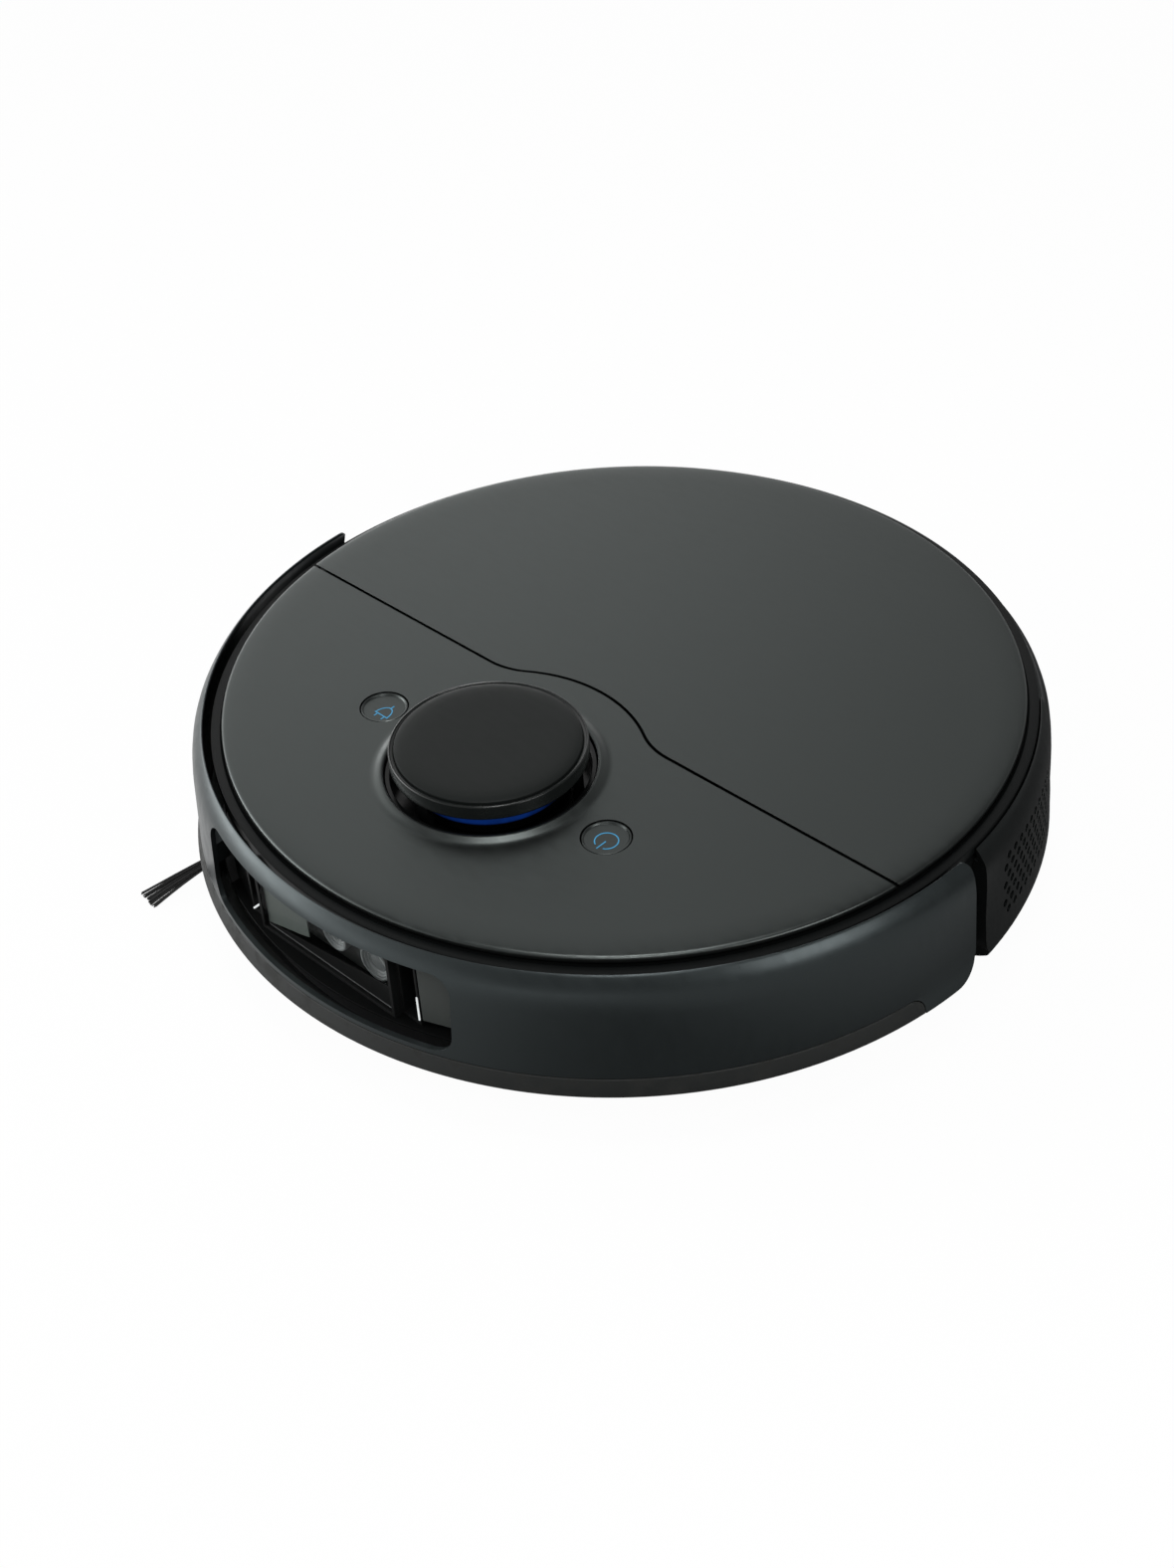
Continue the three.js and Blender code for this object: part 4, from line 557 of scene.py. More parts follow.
class Tree:
    """The nodes of one material, or of the world."""

    def __init__(self, owner: Owner) -> None:
        """Clears the owner's nodes and gives it an output."""
        owner.use_nodes = True
        self.owner = owner
        self.nodes, self.links = owner.node_tree.nodes, owner.node_tree.links
        self.nodes.clear()
        kind = "World" if isinstance(owner, bpy.types.World) else "Material"
        self.output = self.node(f"ShaderNodeOutput{kind}")
        self.coordinates = self.node("ShaderNodeTexCoord").outputs
        self.place = self.coordinates["Object"]

    def node(
        self, kind: str, settings: dict[str, Value] | None = None, sockets: dict[Value, Value] | None = None
    ) -> bpy.types.Node:
        """Adds a node.

        Args:
            kind: the node's type.
            settings: its settings, which are set first.
            sockets: values or links of its inputs, by name or number.

        Returns:
            The node.
        """
        node = self.nodes.new(kind)
        for key, value in (settings or {}).items():
            setattr(node, key, value)
        for key, value in (sockets or {}).items():
            source = value.socket if isinstance(value, Wire) else value
            if isinstance(source, bpy.types.NodeSocket):
                self.links.new(source, node.inputs[key])
            else:
                node.inputs[key].default_value = source
        return node

    def noise(
        self, size: float, detail: float = 2.0, stretch: Triple = (1.0, 1.0, 1.0), roughness: float = 0.5
    ) -> Wire:
        """Soft noise from 0 to 1.

        Args:
            size: size of its blobs in millimetres.
            detail: octaves of finer noise.
            stretch: how much finer it is along each axis.
            roughness: strength of the finer noise.

        Returns:
            The noise.
        """
        mapped = self.node("ShaderNodeMapping", None, {"Vector": self.place, "Scale": stretch}).outputs[0]
        sockets = {"Vector": mapped, "Scale": 1 / (size * MM), "Detail": detail, "Roughness": roughness}
        return Wire(self, self.node("ShaderNodeTexNoise", None, sockets).outputs[0])

    def cells(self, size: float, feature: str = "F1") -> Wire:
        """Distance from the middle of random cells, about 0 to 1.

        Args:
            size: size of the cells in millimetres.
            feature: which distance the node gives.

        Returns:
            The distance.
        """
        sockets = {"Vector": self.place, "Scale": 1 / (size * MM)}
        return Wire(
            self, self.node("ShaderNodeTexVoronoi", {"feature": feature}, sockets).outputs["Distance"]
        )

    def axis(self, name: str) -> Wire:
        """The object's X, Y or Z in metres."""
        return Wire(self, self.node("ShaderNodeSeparateXYZ", None, {0: self.place}).outputs[name])

    def rays(self) -> tuple[Wire, Wire]:
        """Whether the ray shows a surface by itself or through glass, and whether it shows it by gloss."""
        path = self.node("ShaderNodeLightPath").outputs
        shown = Wire(self, path["Is Camera Ray"]).math(
            "MAXIMUM", path["Is Camera Ray"], path["Is Transmission Ray"]
        )
        return shown, Wire(self, path["Is Glossy Ray"])

    def blend(self, factor: Value, first: Value, second: Value) -> bpy.types.NodeSocket:
        """A colour between two colours."""
        settings = {"data_type": "RGBA"}
        return self.node("ShaderNodeMix", settings, {0: factor, 6: first, 7: second}).outputs[2]

    def relief(
        self, height: Wire, depth: float, strength: float = 1.0, under: Value = None
    ) -> bpy.types.NodeSocket:
        """A bump for the shader's normal.

        Args:
            height: height of the surface, 0 to 1.
            depth: height in millimetres that 1 stands for.
            strength: strength of the bump.
            under: normal of the bump that this one lies on.

        Returns:
            The normal.
        """
        sockets = {"Height": height, "Distance": depth * MM, "Strength": strength}
        if under is not None:
            sockets["Normal"] = under
        return self.node("ShaderNodeBump", None, sockets).outputs[0]

    def finish(self, shader: bpy.types.NodeSocket) -> Owner:
        """Leads a shader to the output and gives the material or the world."""
        self.links.new(shader, self.output.inputs["Surface"])
        return self.owner

    def principled(self, **sockets: Value) -> bpy.types.NodeSocket:
        """A Principled shader; an underscore in a socket's name stands for a space."""
        named = {key.replace("_", " "): value for key, value in sockets.items()}
        return self.node("ShaderNodeBsdfPrincipled", None, named).outputs[0]


def tone(red: int, green: int, blue: int, share: float = 1.0) -> tuple[float, float, float, float]:
    """A colour in the renderer's linear units.

    Args:
        red: red from 0 to 255 as seen on a screen.
        green: green, likewise.
        blue: blue, likewise.
        share: factor on the linear colour.

    Returns:
        The colour with an alpha of 1.
    """

    def linear(level: int) -> float:
        """One channel in linear units."""
        value = level / 255
        return share * (value / 12.92 if value <= 0.04045 else ((value + 0.055) / 1.055) ** 2.4)

    return (linear(red), linear(green), linear(blue), 1.0)


class Finish:
    """A finish, whose material is made once, when it is first asked for."""

    made: dict[str, bpy.types.Material] = {}
    name: str

    def material(self) -> bpy.types.Material:
        """The finish's material."""
        if self.name not in self.made:
            self.made[self.name] = self.paint(Tree(bpy.data.materials.new(self.name)))
        return self.made[self.name]

    def paint(self, tree: Tree) -> bpy.types.Material:
        """Builds the material's nodes."""
        raise NotImplementedError


@dataclass(frozen=True)
class Moulded(Finish):
    """Moulded plastic with the fine texture of a spark-eroded mould."""

    name: str
    colour: tuple[int, int, int]
    roughness: float = 0.42
    grain: float = 0.5
    depth: float = 0.012
    mottle: float = 0.12
    fleck: float = 0.0
    metallic: float = 0.0
    specular: float = 0.5

    def paint(self, tree: Tree) -> bpy.types.Material:
        """Lays cloudy shade, fine grain and, where there are any, bright flecks over the colour."""
        cloud = tree.noise(38, 3)
        grain = tree.noise(self.grain, 3, roughness=0.6)
        scuff = tree.noise(9, 4, (1.0, 3.0, 1.0))
        dark = tone(*self.colour, share=1 - self.mottle)
        light = tone(*self.colour, share=1 + self.mottle)
        colour = tree.blend(cloud * 0.4 + grain * 0.6, dark, light)
        if self.fleck:
            bright = tree.cells(0.55).ramp(0.16, 0.05) * tree.noise(1.7, 1).ramp(0.45, 0.7)
            colour = tree.blend(bright * self.fleck, colour, tone(196, 204, 210))
        rough = scuff.ramp(0.2, 0.8, self.roughness - 0.04, self.roughness + 0.05) + (grain - 0.5) * 0.06
        normal = tree.relief(grain, self.depth, 0.7)
        return tree.finish(
            tree.principled(
                Base_Color=colour,
                Roughness=rough,
                Metallic=self.metallic,
                Specular_IOR_Level=self.specular,
                Normal=normal,
            )
        )


@dataclass(frozen=True)
class Rubber(Finish):
    """Matt rubber with a bloom of dust in random patches."""

    name: str
    colour: tuple[int, int, int]
    dust: float = 0.18

    def paint(self, tree: Tree) -> bpy.types.Material:
        """Lays pale dust over dark rubber with a leathery relief."""
        skin = tree.noise(0.8, 4, roughness=0.65)
        bloom = tree.noise(7, 4).ramp(0.42, 0.72)
        colour = tree.blend(bloom * self.dust, tone(*self.colour), tone(116, 112, 106))
        normal = tree.relief(skin, 0.05, 0.6)
        return tree.finish(
            tree.principled(Base_Color=colour, Roughness=bloom.ramp(0, 1, 0.62, 0.84), Normal=normal)
        )


@dataclass(frozen=True)
class Metal(Finish):
    """Drawn or plated metal with fine lines along one axis."""

    name: str
    colour: tuple[int, int, int]
    roughness: float = 0.28
    lines: Triple = (1.0, 1.0, 14.0)

    def paint(self, tree: Tree) -> bpy.types.Material:
        """Lays fine drawn lines and a slight tarnish over bare metal."""
        lines = tree.noise(1.2, 4, self.lines)
        tarnish = tree.noise(6, 3).ramp(0.5, 0.8)
        colour = tree.blend(tarnish * 0.35, tone(*self.colour), tone(*self.colour, share=0.55))
        rough = lines.ramp(0.2, 0.8, self.roughness - 0.08, self.roughness + 0.12)
        normal = tree.relief(lines, 0.01, 0.5)
        return tree.finish(tree.principled(Base_Color=colour, Metallic=1.0, Roughness=rough, Normal=normal))


@dataclass(frozen=True)
class Clear(Finish):
    """Clear or smoked plastic, seen through by its alpha."""

    name: str
    colour: tuple[int, int, int]
    cover: float = 0.3
    roughness: float = 0.05
    coat: float = 0.0

    def paint(self, tree: Tree) -> bpy.types.Material:
        """Lays a faint haze over a clear sheet."""
        haze = tree.noise(14, 4).ramp(0.4, 0.8)
        smear = tree.noise(0.6, 2)
        rough = haze.ramp(0, 1, self.roughness, self.roughness + 0.08) + smear * 0.02
        return tree.finish(
            tree.principled(
                Base_Color=tree.blend(haze * 0.3, tone(*self.colour), tone(*self.colour, share=1.35)),
                Roughness=rough,
                Alpha=haze.ramp(0, 1, self.cover, self.cover + 0.05),
                Coat_Weight=self.coat,
            )
        )


@dataclass(frozen=True)
class Lit(Finish):
    """A surface with its own soft light, such as a lamp behind an icon; it also paints the turret's glow and
    the clips' glint.
    """

    name: str
    colour: tuple[int, int, int]
    strength: float = 1.0
    heading: float | None = None
    reach: float = 29.0
    foot: Pair = (70.2, 71.6)
    head: Pair = (75.0, 73.2)

    def paint(self, tree: Tree) -> bpy.types.Material:
        """Lets the light swell unevenly, and fade away from one heading and outside a band of heights where
        there is one; on the turret that heading faces the camera, so the glow is painted light.
        """
        glow = tree.noise(3, 2).ramp(0.2, 0.8, 0.75, 1.15)
        if self.heading is not None:
            angle = math.radians(self.heading)
            along = tree.axis("X") * math.cos(angle) + (tree.axis("Y") + -TURRET_Y * MM) * math.sin(angle)
            height = tree.axis("Z") / MM
            glow = glow * (along / (self.reach * MM)).ramp(0.66, 1.0)
            glow = glow * height.ramp(*self.foot) * height.ramp(*self.head)
        colour = tree.blend(glow, tone(0, 0, 0), tone(*self.colour))
        return tree.finish(
            tree.principled(
                Base_Color=tone(*self.colour, share=0.25),
                Roughness=tree.noise(2, 2).ramp(0, 1, 0.3, 0.45),
                Emission_Color=colour,
                Emission_Strength=self.strength,
            )
        )


@dataclass(frozen=True)
class Board(Finish):
    """A green circuit board with copper lines under its lacquer."""

    name: str

    def paint(self, tree: Tree) -> bpy.types.Material:
        """Draws lines along the edges of cells under green lacquer."""
        lines = tree.cells(5, "DISTANCE_TO_EDGE").ramp(0.06, 0.03)
        colour = tree.blend(lines, tone(18, 74, 44), tone(66, 122, 66))
        normal = tree.relief(lines, 0.03, 0.5)
        rough = tree.noise(4, 2).ramp(0, 1, 0.25, 0.4)
        return tree.finish(tree.principled(Base_Color=colour, Roughness=rough, Normal=normal))


@dataclass(frozen=True)
class Paper(Finish):
    """Pleated filter paper."""

    name: str

    def paint(self, tree: Tree) -> bpy.types.Material:
        """Mixes fibres and a little caught dust."""
        fibres = tree.noise(0.7, 5, (1.0, 1.0, 5.0))
        dust = tree.noise(11, 3).ramp(0.5, 0.8)
        colour = tree.blend(fibres, tone(214, 212, 204), tone(238, 237, 232))
        colour = tree.blend(dust * 0.4, colour, tone(168, 162, 150))
        return tree.finish(
            tree.principled(
                Base_Color=colour, Roughness=fibres.ramp(0, 1, 0.8, 0.95), Normal=tree.relief(fibres, 0.05)
            )
        )


class Coat(Enum):
    """The finishes of the robot."""

    COVER = Moulded(
        "satin_cover", (73, 77, 76), 0.33, 0.6, 0.008, 0.03, fleck=0.04, metallic=0.93, specular=0.3
    )
    CAP = Moulded("turret_cap", (26, 29, 28), 0.24, 0.5, 0.004, 0.03, specular=0.4)
    CAP_DISC = Moulded("turret_disc", (26, 29, 28), 0.45, 0.5, 0.006, 0.03, specular=0.12)
    BUMPER = Moulded(
        "bumper_plastic", (60, 66, 67), 0.32, 0.7, 0.010, 0.05, fleck=0.10, metallic=0.7, specular=0.4
    )
    STRIP = Rubber("soft_strip", (26, 29, 28), 0.06)
    SHELL = Moulded("shell_plastic", (36, 39, 39), 0.32, 0.8, 0.005, 0.05, metallic=0.5, specular=0.3)
    BLACK = Moulded("matt_black", (22, 23, 23), 0.55, 0.9, 0.02, 0.1, specular=0.12)
    DECK = Moulded("deck_black", (17, 19, 19), 0.36, 0.9, 0.01, 0.08, specular=0.12)
    DARK = Moulded("dark_sill", (12, 13, 13), 0.6, 0.9, 0.01, 0.1, specular=0.05)
    GLOSS = Moulded("gloss_black", (10, 11, 11), 0.2, 1.5, 0.002, 0.1, specular=0.2)
    PANEL = Moulded("camera_panel", (102, 110, 106), 0.5, 0.8, 0.008, 0.04, specular=0.2)
    LEDGE = Moulded("camera_ledge", (96, 98, 98), 0.45, 0.8, 0.008, 0.04, specular=0.3)
    # Grey of the visor, and a painted lit grey on the +X window wing, which is black like its twin.
    WING = Moulded("window_wing", (84, 88, 86), 0.45, 0.8, 0.008, 0.04, specular=0.2)
    CHASSIS = Moulded("chassis_plastic", (32, 33, 34), 0.5, 1.2, 0.03, 0.08, specular=0.25)
    GREY = Moulded("grey_plastic", (84, 86, 88), 0.45, 1.0, 0.02, 0.08, specular=0.4)
    RUBBER = Rubber("black_rubber", (22, 22, 22), 0.14)
    TYRE = Rubber("tyre_rubber", (26, 26, 26), 0.22)
    FIN = Rubber("roller_rubber", (46, 50, 54), 0.16)
    STEEL = Metal("spring_steel", (176, 178, 182))
    CONTACT = Metal("plated_contact", (206, 170, 108), 0.2, (14.0, 1.0, 1.0))
    SMOKED = Clear("smoked_window", (6, 7, 7), 0.10, 0.04)
    LENS = Clear("lens_glass", (150, 158, 158), 0.35, 0.03, 0.5)
    # Pale grey of the lens rings is painted light, raised to brighten rings that sit in shade.
    LENS_RING = Moulded("lens_ring_painted_light", (176, 182, 182), 0.3, 0.8, 0.004, 0.08)
    SENSOR = Clear("sensor_window", (26, 10, 14), 0.7, 0.08)
    BIN = Clear("smoked_bin", (44, 48, 52), 0.5, 0.12)
    BRISTLE = Moulded("bristle_nylon", (16, 16, 16), 0.4, 0.4, 0.01, 0.3, specular=0.25)
    CELL = Moulded("cell_sleeve", (30, 62, 112), 0.35, 2.0, 0.02, 0.12)
    ICON = Lit("icon_light", (50, 140, 184), 0.9)
    # Painted blue glow for the turret, shown only towards heading -44 degrees, the camera's side, and just
    # under the cap.
    GLOW = Lit("turret_painted_glow", (14, 54, 134), 0.42, heading=-44)
    # Near-white glow on the housing's steel clips: a painted glint, not a lamp.
    GLINT = Lit("clip_painted_glint", (236, 240, 240), 0.9)
    BOARD = Board("circuit_board")
    PAPER = Paper("filter_paper")


# ---------------------------------------------------------------- pieces


def dress(obj: bpy.types.Object, coat: Coat) -> None:
    """Gives an object one finish.

    Args:
        obj: the object.
        coat: its finish.
    """
    while len(obj.data.materials) < 1:
        obj.data.materials.append(None)
    for i in range(len(obj.data.materials)):
        obj.material_slots[i].material = coat.value.material()


def place(form: Form, name: str, body: str, slot: str, coat: Coat, *nodes: str, angle: float = 32.0) -> Form:
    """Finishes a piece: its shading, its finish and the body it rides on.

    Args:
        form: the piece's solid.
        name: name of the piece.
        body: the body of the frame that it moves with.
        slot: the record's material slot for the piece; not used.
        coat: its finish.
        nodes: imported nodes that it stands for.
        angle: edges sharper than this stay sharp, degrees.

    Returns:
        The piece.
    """
    form.obj.name = form.obj.data.name = name
    form.alone()
    bpy.ops.object.shade_smooth_by_angle(angle=math.radians(angle))
    form.modify("WEIGHTED_NORMAL", keep_sharp=True)
    dress(form.obj, coat)
    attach(form.obj, body)
    if nodes:
        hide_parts(*nodes)
    log.info("%s on %s, %d faces", name, body, len(form.obj.data.polygons))
    return form


def low(node: str) -> Vector:
    """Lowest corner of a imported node, millimetres."""
    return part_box(node)[0] / MM


def high(node: str) -> Vector:
    """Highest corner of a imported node, millimetres."""
    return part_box(node)[1] / MM


# ---------------------------------------------------------------- covers


@dataclass
class Covers:
    """The two round covers with the seam between them: the fixed front one and the hinged lid."""

    radius: float = 158.0
    top: float = 73.6
    under: float = 72.0
    seam_y: float = -26.5
    seam_gap: float = 1.4
    fillet: float = 30.0
    rise: float = 59.5
    slope: float = 0.68
    turret_y: float = TURRET_Y
    hole: float = TURRET_HOLE
    button: Triple = BUTTON
    shift: float = BUTTON_SHIFT
    fit: float = 0.3
    hinge: Pair = (-38.0, 67.0)
    neck_x: Pair = (59.5, 67.5)
    pocket_x: Pair = (57.5, 69.5)

    def rim(self) -> list[Pair]:
        """Half section of the plate with its rolled edge."""
        r, top = self.radius, self.top
        edge = [
            (12, 0.0), (8, 0.04), (5, 0.12), (3, 0.22), (1.6, 0.34), (0.9, 0.52), (0.4, 0.86), (0.1, 1.35),
            (0.02, 2.2), (0.2, 2.68), (0.8, 2.76), (5, 2.4), (10, 1.9)
        ]
        points = [(r - inwards, top - down) for inwards, down in edge]
        return [(0.0, top), *points, (r - 12, self.under), (0.0, self.under)]

    def front_plan(self) -> list[Pair]:
        """Outline of everything in front of the seam."""
        far = 400.0
        middle_y = self.seam_y + self.fillet
        drop = middle_y - self.turret_y
        middle_x = math.sqrt((self.rise + self.fillet) ** 2 - drop**2)
        lean = math.degrees(math.atan2(drop, middle_x))
        points = [(-far, -far), (far, -far), (far, self.seam_y)]
        points += arc((middle_x, middle_y), self.fillet, -90, lean - 180, 16)
        points += arc((0.0, self.turret_y), self.rise, lean, 180 - lean, 48)[1:]
        points += arc((-middle_x, middle_y), self.fillet, -lean, -90, 16)[1:]
        return [*points, (-far, self.seam_y)]

    def front_space(self, shift: float) -> Form:
        """The space in front of the seam, leaning back under the lid."""
        z0, z1 = self.under - 6, self.top + 1
        start = (self.top - z0) * self.slope + shift
        plan = [(x, y + start) for x, y in self.front_plan()]
        return prism(plan, z0, z1, (0.0, -(z1 - z0) * self.slope))

    def turret_lip(self) -> Form:
        """The raised lip round the turret, which flows out of the cover."""
        top, hole = self.top, self.hole
        section = [
            (0, -1.6), (0, 0.75), (0.15, 1.05), (0.45, 1.3), (0.85, 1.42), (1.25, 1.42), (1.7, 1.28),
            (2.4, 0.95), (3.1, 0.61), (3.7, 0.35), (4.3, 0.16), (5.0, 0.05), (6.0, 0.0), (7.0, -0.04),
            (7.0, -1.6)
        ]
        return turned([(hole + r, top + z) for r, z in section], ROUND, (0.0, self.turret_y))

    def front(self) -> None:
        """The front cover with its turret lip, button holes and hinge notches."""
        plate = turned(self.rim()).within(self.front_space(0.0)).join(self.turret_lip())
        plate.cut(rod("Z", self.hole, (60, 90), (0.0, self.turret_y), ROUND))
        x, y, r = self.button
        for side in (1, -1):
            plate.cut(rod("Z", r + 1.5 * self.fit, (60, 90), (side * x + self.shift, y - self.shift), 64))
            a, b = sorted((side * self.pocket_x[0], side * self.pocket_x[1]))
            plate.cut(block((a, b), (self.seam_y - 4, self.seam_y + 8), (self.under - 1, self.top - 1.2)))
        plate.weld().soften(0.4, 3, 40)
        rib = turned([(146, 69.5), (147.6, 69.5), (147.6, 72.2), (146, 72.2)]).within(self.front_space(-6))
        plate.gather(rib)
        place(plate, "front_cover_shell", "chassis", "satin_cover", Coat.COVER, "front_cover")

    def neck(self) -> Form:
        """One gooseneck of the lid, spun round the hinge pin."""
        y, z = self.hinge
        x0, x1 = self.neck_x
        band = loop([(x0, y + r, z) for r in (15.2, 18.6)] + [(x1, y + r, z) for r in (18.6, 15.2)])
        with band.editing():
            bpy.ops.mesh.edge_face_add()
            bpy.ops.mesh.spin(steps=22, angle=math.radians(88), center=(0, y * MM, z * MM), axis=(1, 0, 0))
        band.outwards().rotated(-70, "X", (0, y, z))
        eye = rod("X", 3.6, (x0, x1), (y, z))
        spoke = block((x0, x1), (y, y + 17), (z - 1.8, z + 1.8)).rotated(-63, "X", (0, y, z))
        foot = sideways(
            [(y + 14.4, z + 4.2), (y + 18, z + 4.2), (y + 21.6, z + 6.2), (y + 14.8, z + 6.2)], x0, x1
        )
        neck = band.join(eye, spoke, foot).cut(rod("X", 1.8, (x0 - 1, x1 + 1), (y, z)))
        return neck.weld().soften(0.4, 2)

    def lid(self) -> None:
        """The rear lid, with its stiffening ribs and goosenecks underneath."""
        plate = turned(self.rim()).cut(self.front_space(self.seam_gap))
        plate.weld().soften(0.4, 3, 40)
        rib = turned(
            [(148, 69.5), (150, 69.5), (150, 72.2), (148, 72.2)]
        ).cut(self.front_space(self.seam_gap + 3))
        neck = self.neck()
        plate.gather(rib.soften(0.3), neck, neck.copy().mirrored())
        place(plate, "rear_lid_shell", "lid", "satin_cover", Coat.COVER, "rear_lid")

    def make(self) -> None:
        """Makes both covers."""
        self.front()
        self.lid()


# ---------------------------------------------------------------- deck and chassis


@dataclass
class InnerBody:
    """The deck under the covers with its dark ring, and the chassis pan that carries everything."""

    ring: Pair = (158.6, 162.6)
    ring_top: float = 69.8
    deck: Pair = (66.0, 69.0)
    wall: Pair = (159.3, 161.5)
    wall_low: float = 34.3
    core: float = 150.0
    window_half: float = 47.3
    pan_radius: float = 161.0
    pan_top: float = 34.0
    floor: Pair = (10.0, 13.0)
    tank_y: float = 100.0
    flange_r: float = 168.0
    flange_z: Pair = (15.4, 17.4)
    flange_y: float = -10.0
    brush: Pair = SIDE_BRUSH
    screws: tuple[Pair, ...] = (
        (-138, 22), (138, 22), (-120, 88), (120, 88), (-52, -140), (52, -140), (-66, -30), (70, -34)
    )

    def deck_piece(self) -> None:
        """The deck: its own middle, and a smooth ring and wall round it."""
        middle = from_cad("deck_frame", 0.0).within(
            rod("Z", self.core, (20, 80), facets=40)
        ).weld().parted().soften(0.3, 1)
        inner, outer = self.ring
        z0, z1 = self.deck
        low_wall, high_wall = self.wall
        section = [
            (self.core - 1, z0 + 0.02), (low_wall, z0 + 0.02), (low_wall, self.wall_low + 0.3),
            (low_wall + 0.3, self.wall_low), (high_wall - 0.3, self.wall_low),
            (high_wall, self.wall_low + 0.3), (high_wall, z0 - 1.1)
        ]
        section += [
            (outer - 0.1, z0 - 0.1), (outer, z0 + 0.3), (outer, self.ring_top - 0.6),
            (outer - 0.2, self.ring_top - 0.15), (outer - 0.7, self.ring_top), (inner + 0.5, self.ring_top),
            (inner, self.ring_top - 0.15)
        ]
        section += [(inner - 0.6, z1 - 0.02), (self.core - 1, z1 - 0.02)]
        ring = turned(section)
        ring.cut(
            block((-self.window_half, self.window_half), (-FAR, -120), (33, z0)),
            block((-FAR, FAR), (30, FAR), (33, z0))
        )
        for angle in HOOK_ANGLES:
            ring.cut(block((155.5, 163.6), (-10.5, 10.5), (30, 37.2)).rotated(angle))
        for x in (-72, 72):
            ring.cut(block((x - 6, x + 6), (-165, -120), (41, 53)))
        middle.gather(ring.weld())
        place(middle, "deck_and_ring", "chassis", "matte_black", Coat.DECK, "deck_frame")

    def pan_piece(self) -> None:
        """The chassis pan: its own middle, and a smooth rim round it."""
        middle = from_cad("chassis_base", 0.0).within(
            rod("Z", self.core + 3, TALL, facets=40)
        ).weld().parted().soften(0.35, 1)
        r, (z0, z1) = self.pan_radius, self.floor
        section = [
            (self.core - 1, z0 + 0.01), (r - 5.4, z0 + 0.01), (r - 4.4, z0 + 0.4), (r - 1.2, z0 + 3.4),
            (r - 0.3, z0 + 4.6), (r, z0 + 6), (r, self.pan_top - 0.4), (r - 0.4, self.pan_top),
            (r - 1.8, self.pan_top), (r - 2.2, self.pan_top - 0.4), (r - 2.2, z0 + 7), (r - 7, z1),
            (self.core - 1, z1)
        ]
        rim = turned(section)
        rim.cut(
            block((-FAR, FAR), (self.tank_y, FAR), TALL),
            block((-self.window_half, self.window_half), (-FAR, -120), (31.2, 40))
        )
        rim.cut(rod("Z", 13.6, (8, 14), self.brush))
        low_z, high_z = self.flange_z
        flange = turned(
            [
                (r - 2, low_z), (self.flange_r - 0.3, low_z), (self.flange_r, low_z + 0.4),
                (self.flange_r, high_z - 0.3), (self.flange_r - 0.3, high_z), (r - 2, high_z)
            ]
        )
        flange.within(block((-FAR, FAR), (-FAR, self.flange_y), TALL))
        middle.gather(rim.weld(), flange)
        place(middle, "chassis_pan", "chassis", "chassis", Coat.CHASSIS, "chassis_base")

    def screw(self) -> Form:
        """A countersunk cross-head screw, seen from below."""
        z = self.floor[0]
        head = turned(
            [
                (0.0, z - 0.02), (2.4, z - 0.02), (2.9, z - 0.3), (2.7, z - 0.62), (1.4, z - 0.86),
                (0.0, z - 0.86)
            ],
            SMALL
        )
        head.cut(
            block((-1.5, 1.5), (-0.3, 0.3), (z - 1, z - 0.35)),
            block((-0.3, 0.3), (-1.5, 1.5), (z - 1, z - 0.35))
        )
        return head

    def screws_piece(self) -> None:
        """The screws that hold the pan to the deck."""
        first = self.screw()
        rest = [first.copy().rotated(23 * i).moved(*at) for i, at in enumerate(self.screws)]
        first.discard()
        rest[0].gather(*rest[1:])
        place(rest[0], "underside_screws", "chassis", "steel", Coat.STEEL)

    def make(self) -> None:
        """Makes the deck, the pan and its screws."""
        self.deck_piece()
        self.pan_piece()
        self.screws_piece()


# ---------------------------------------------------------------- side shells


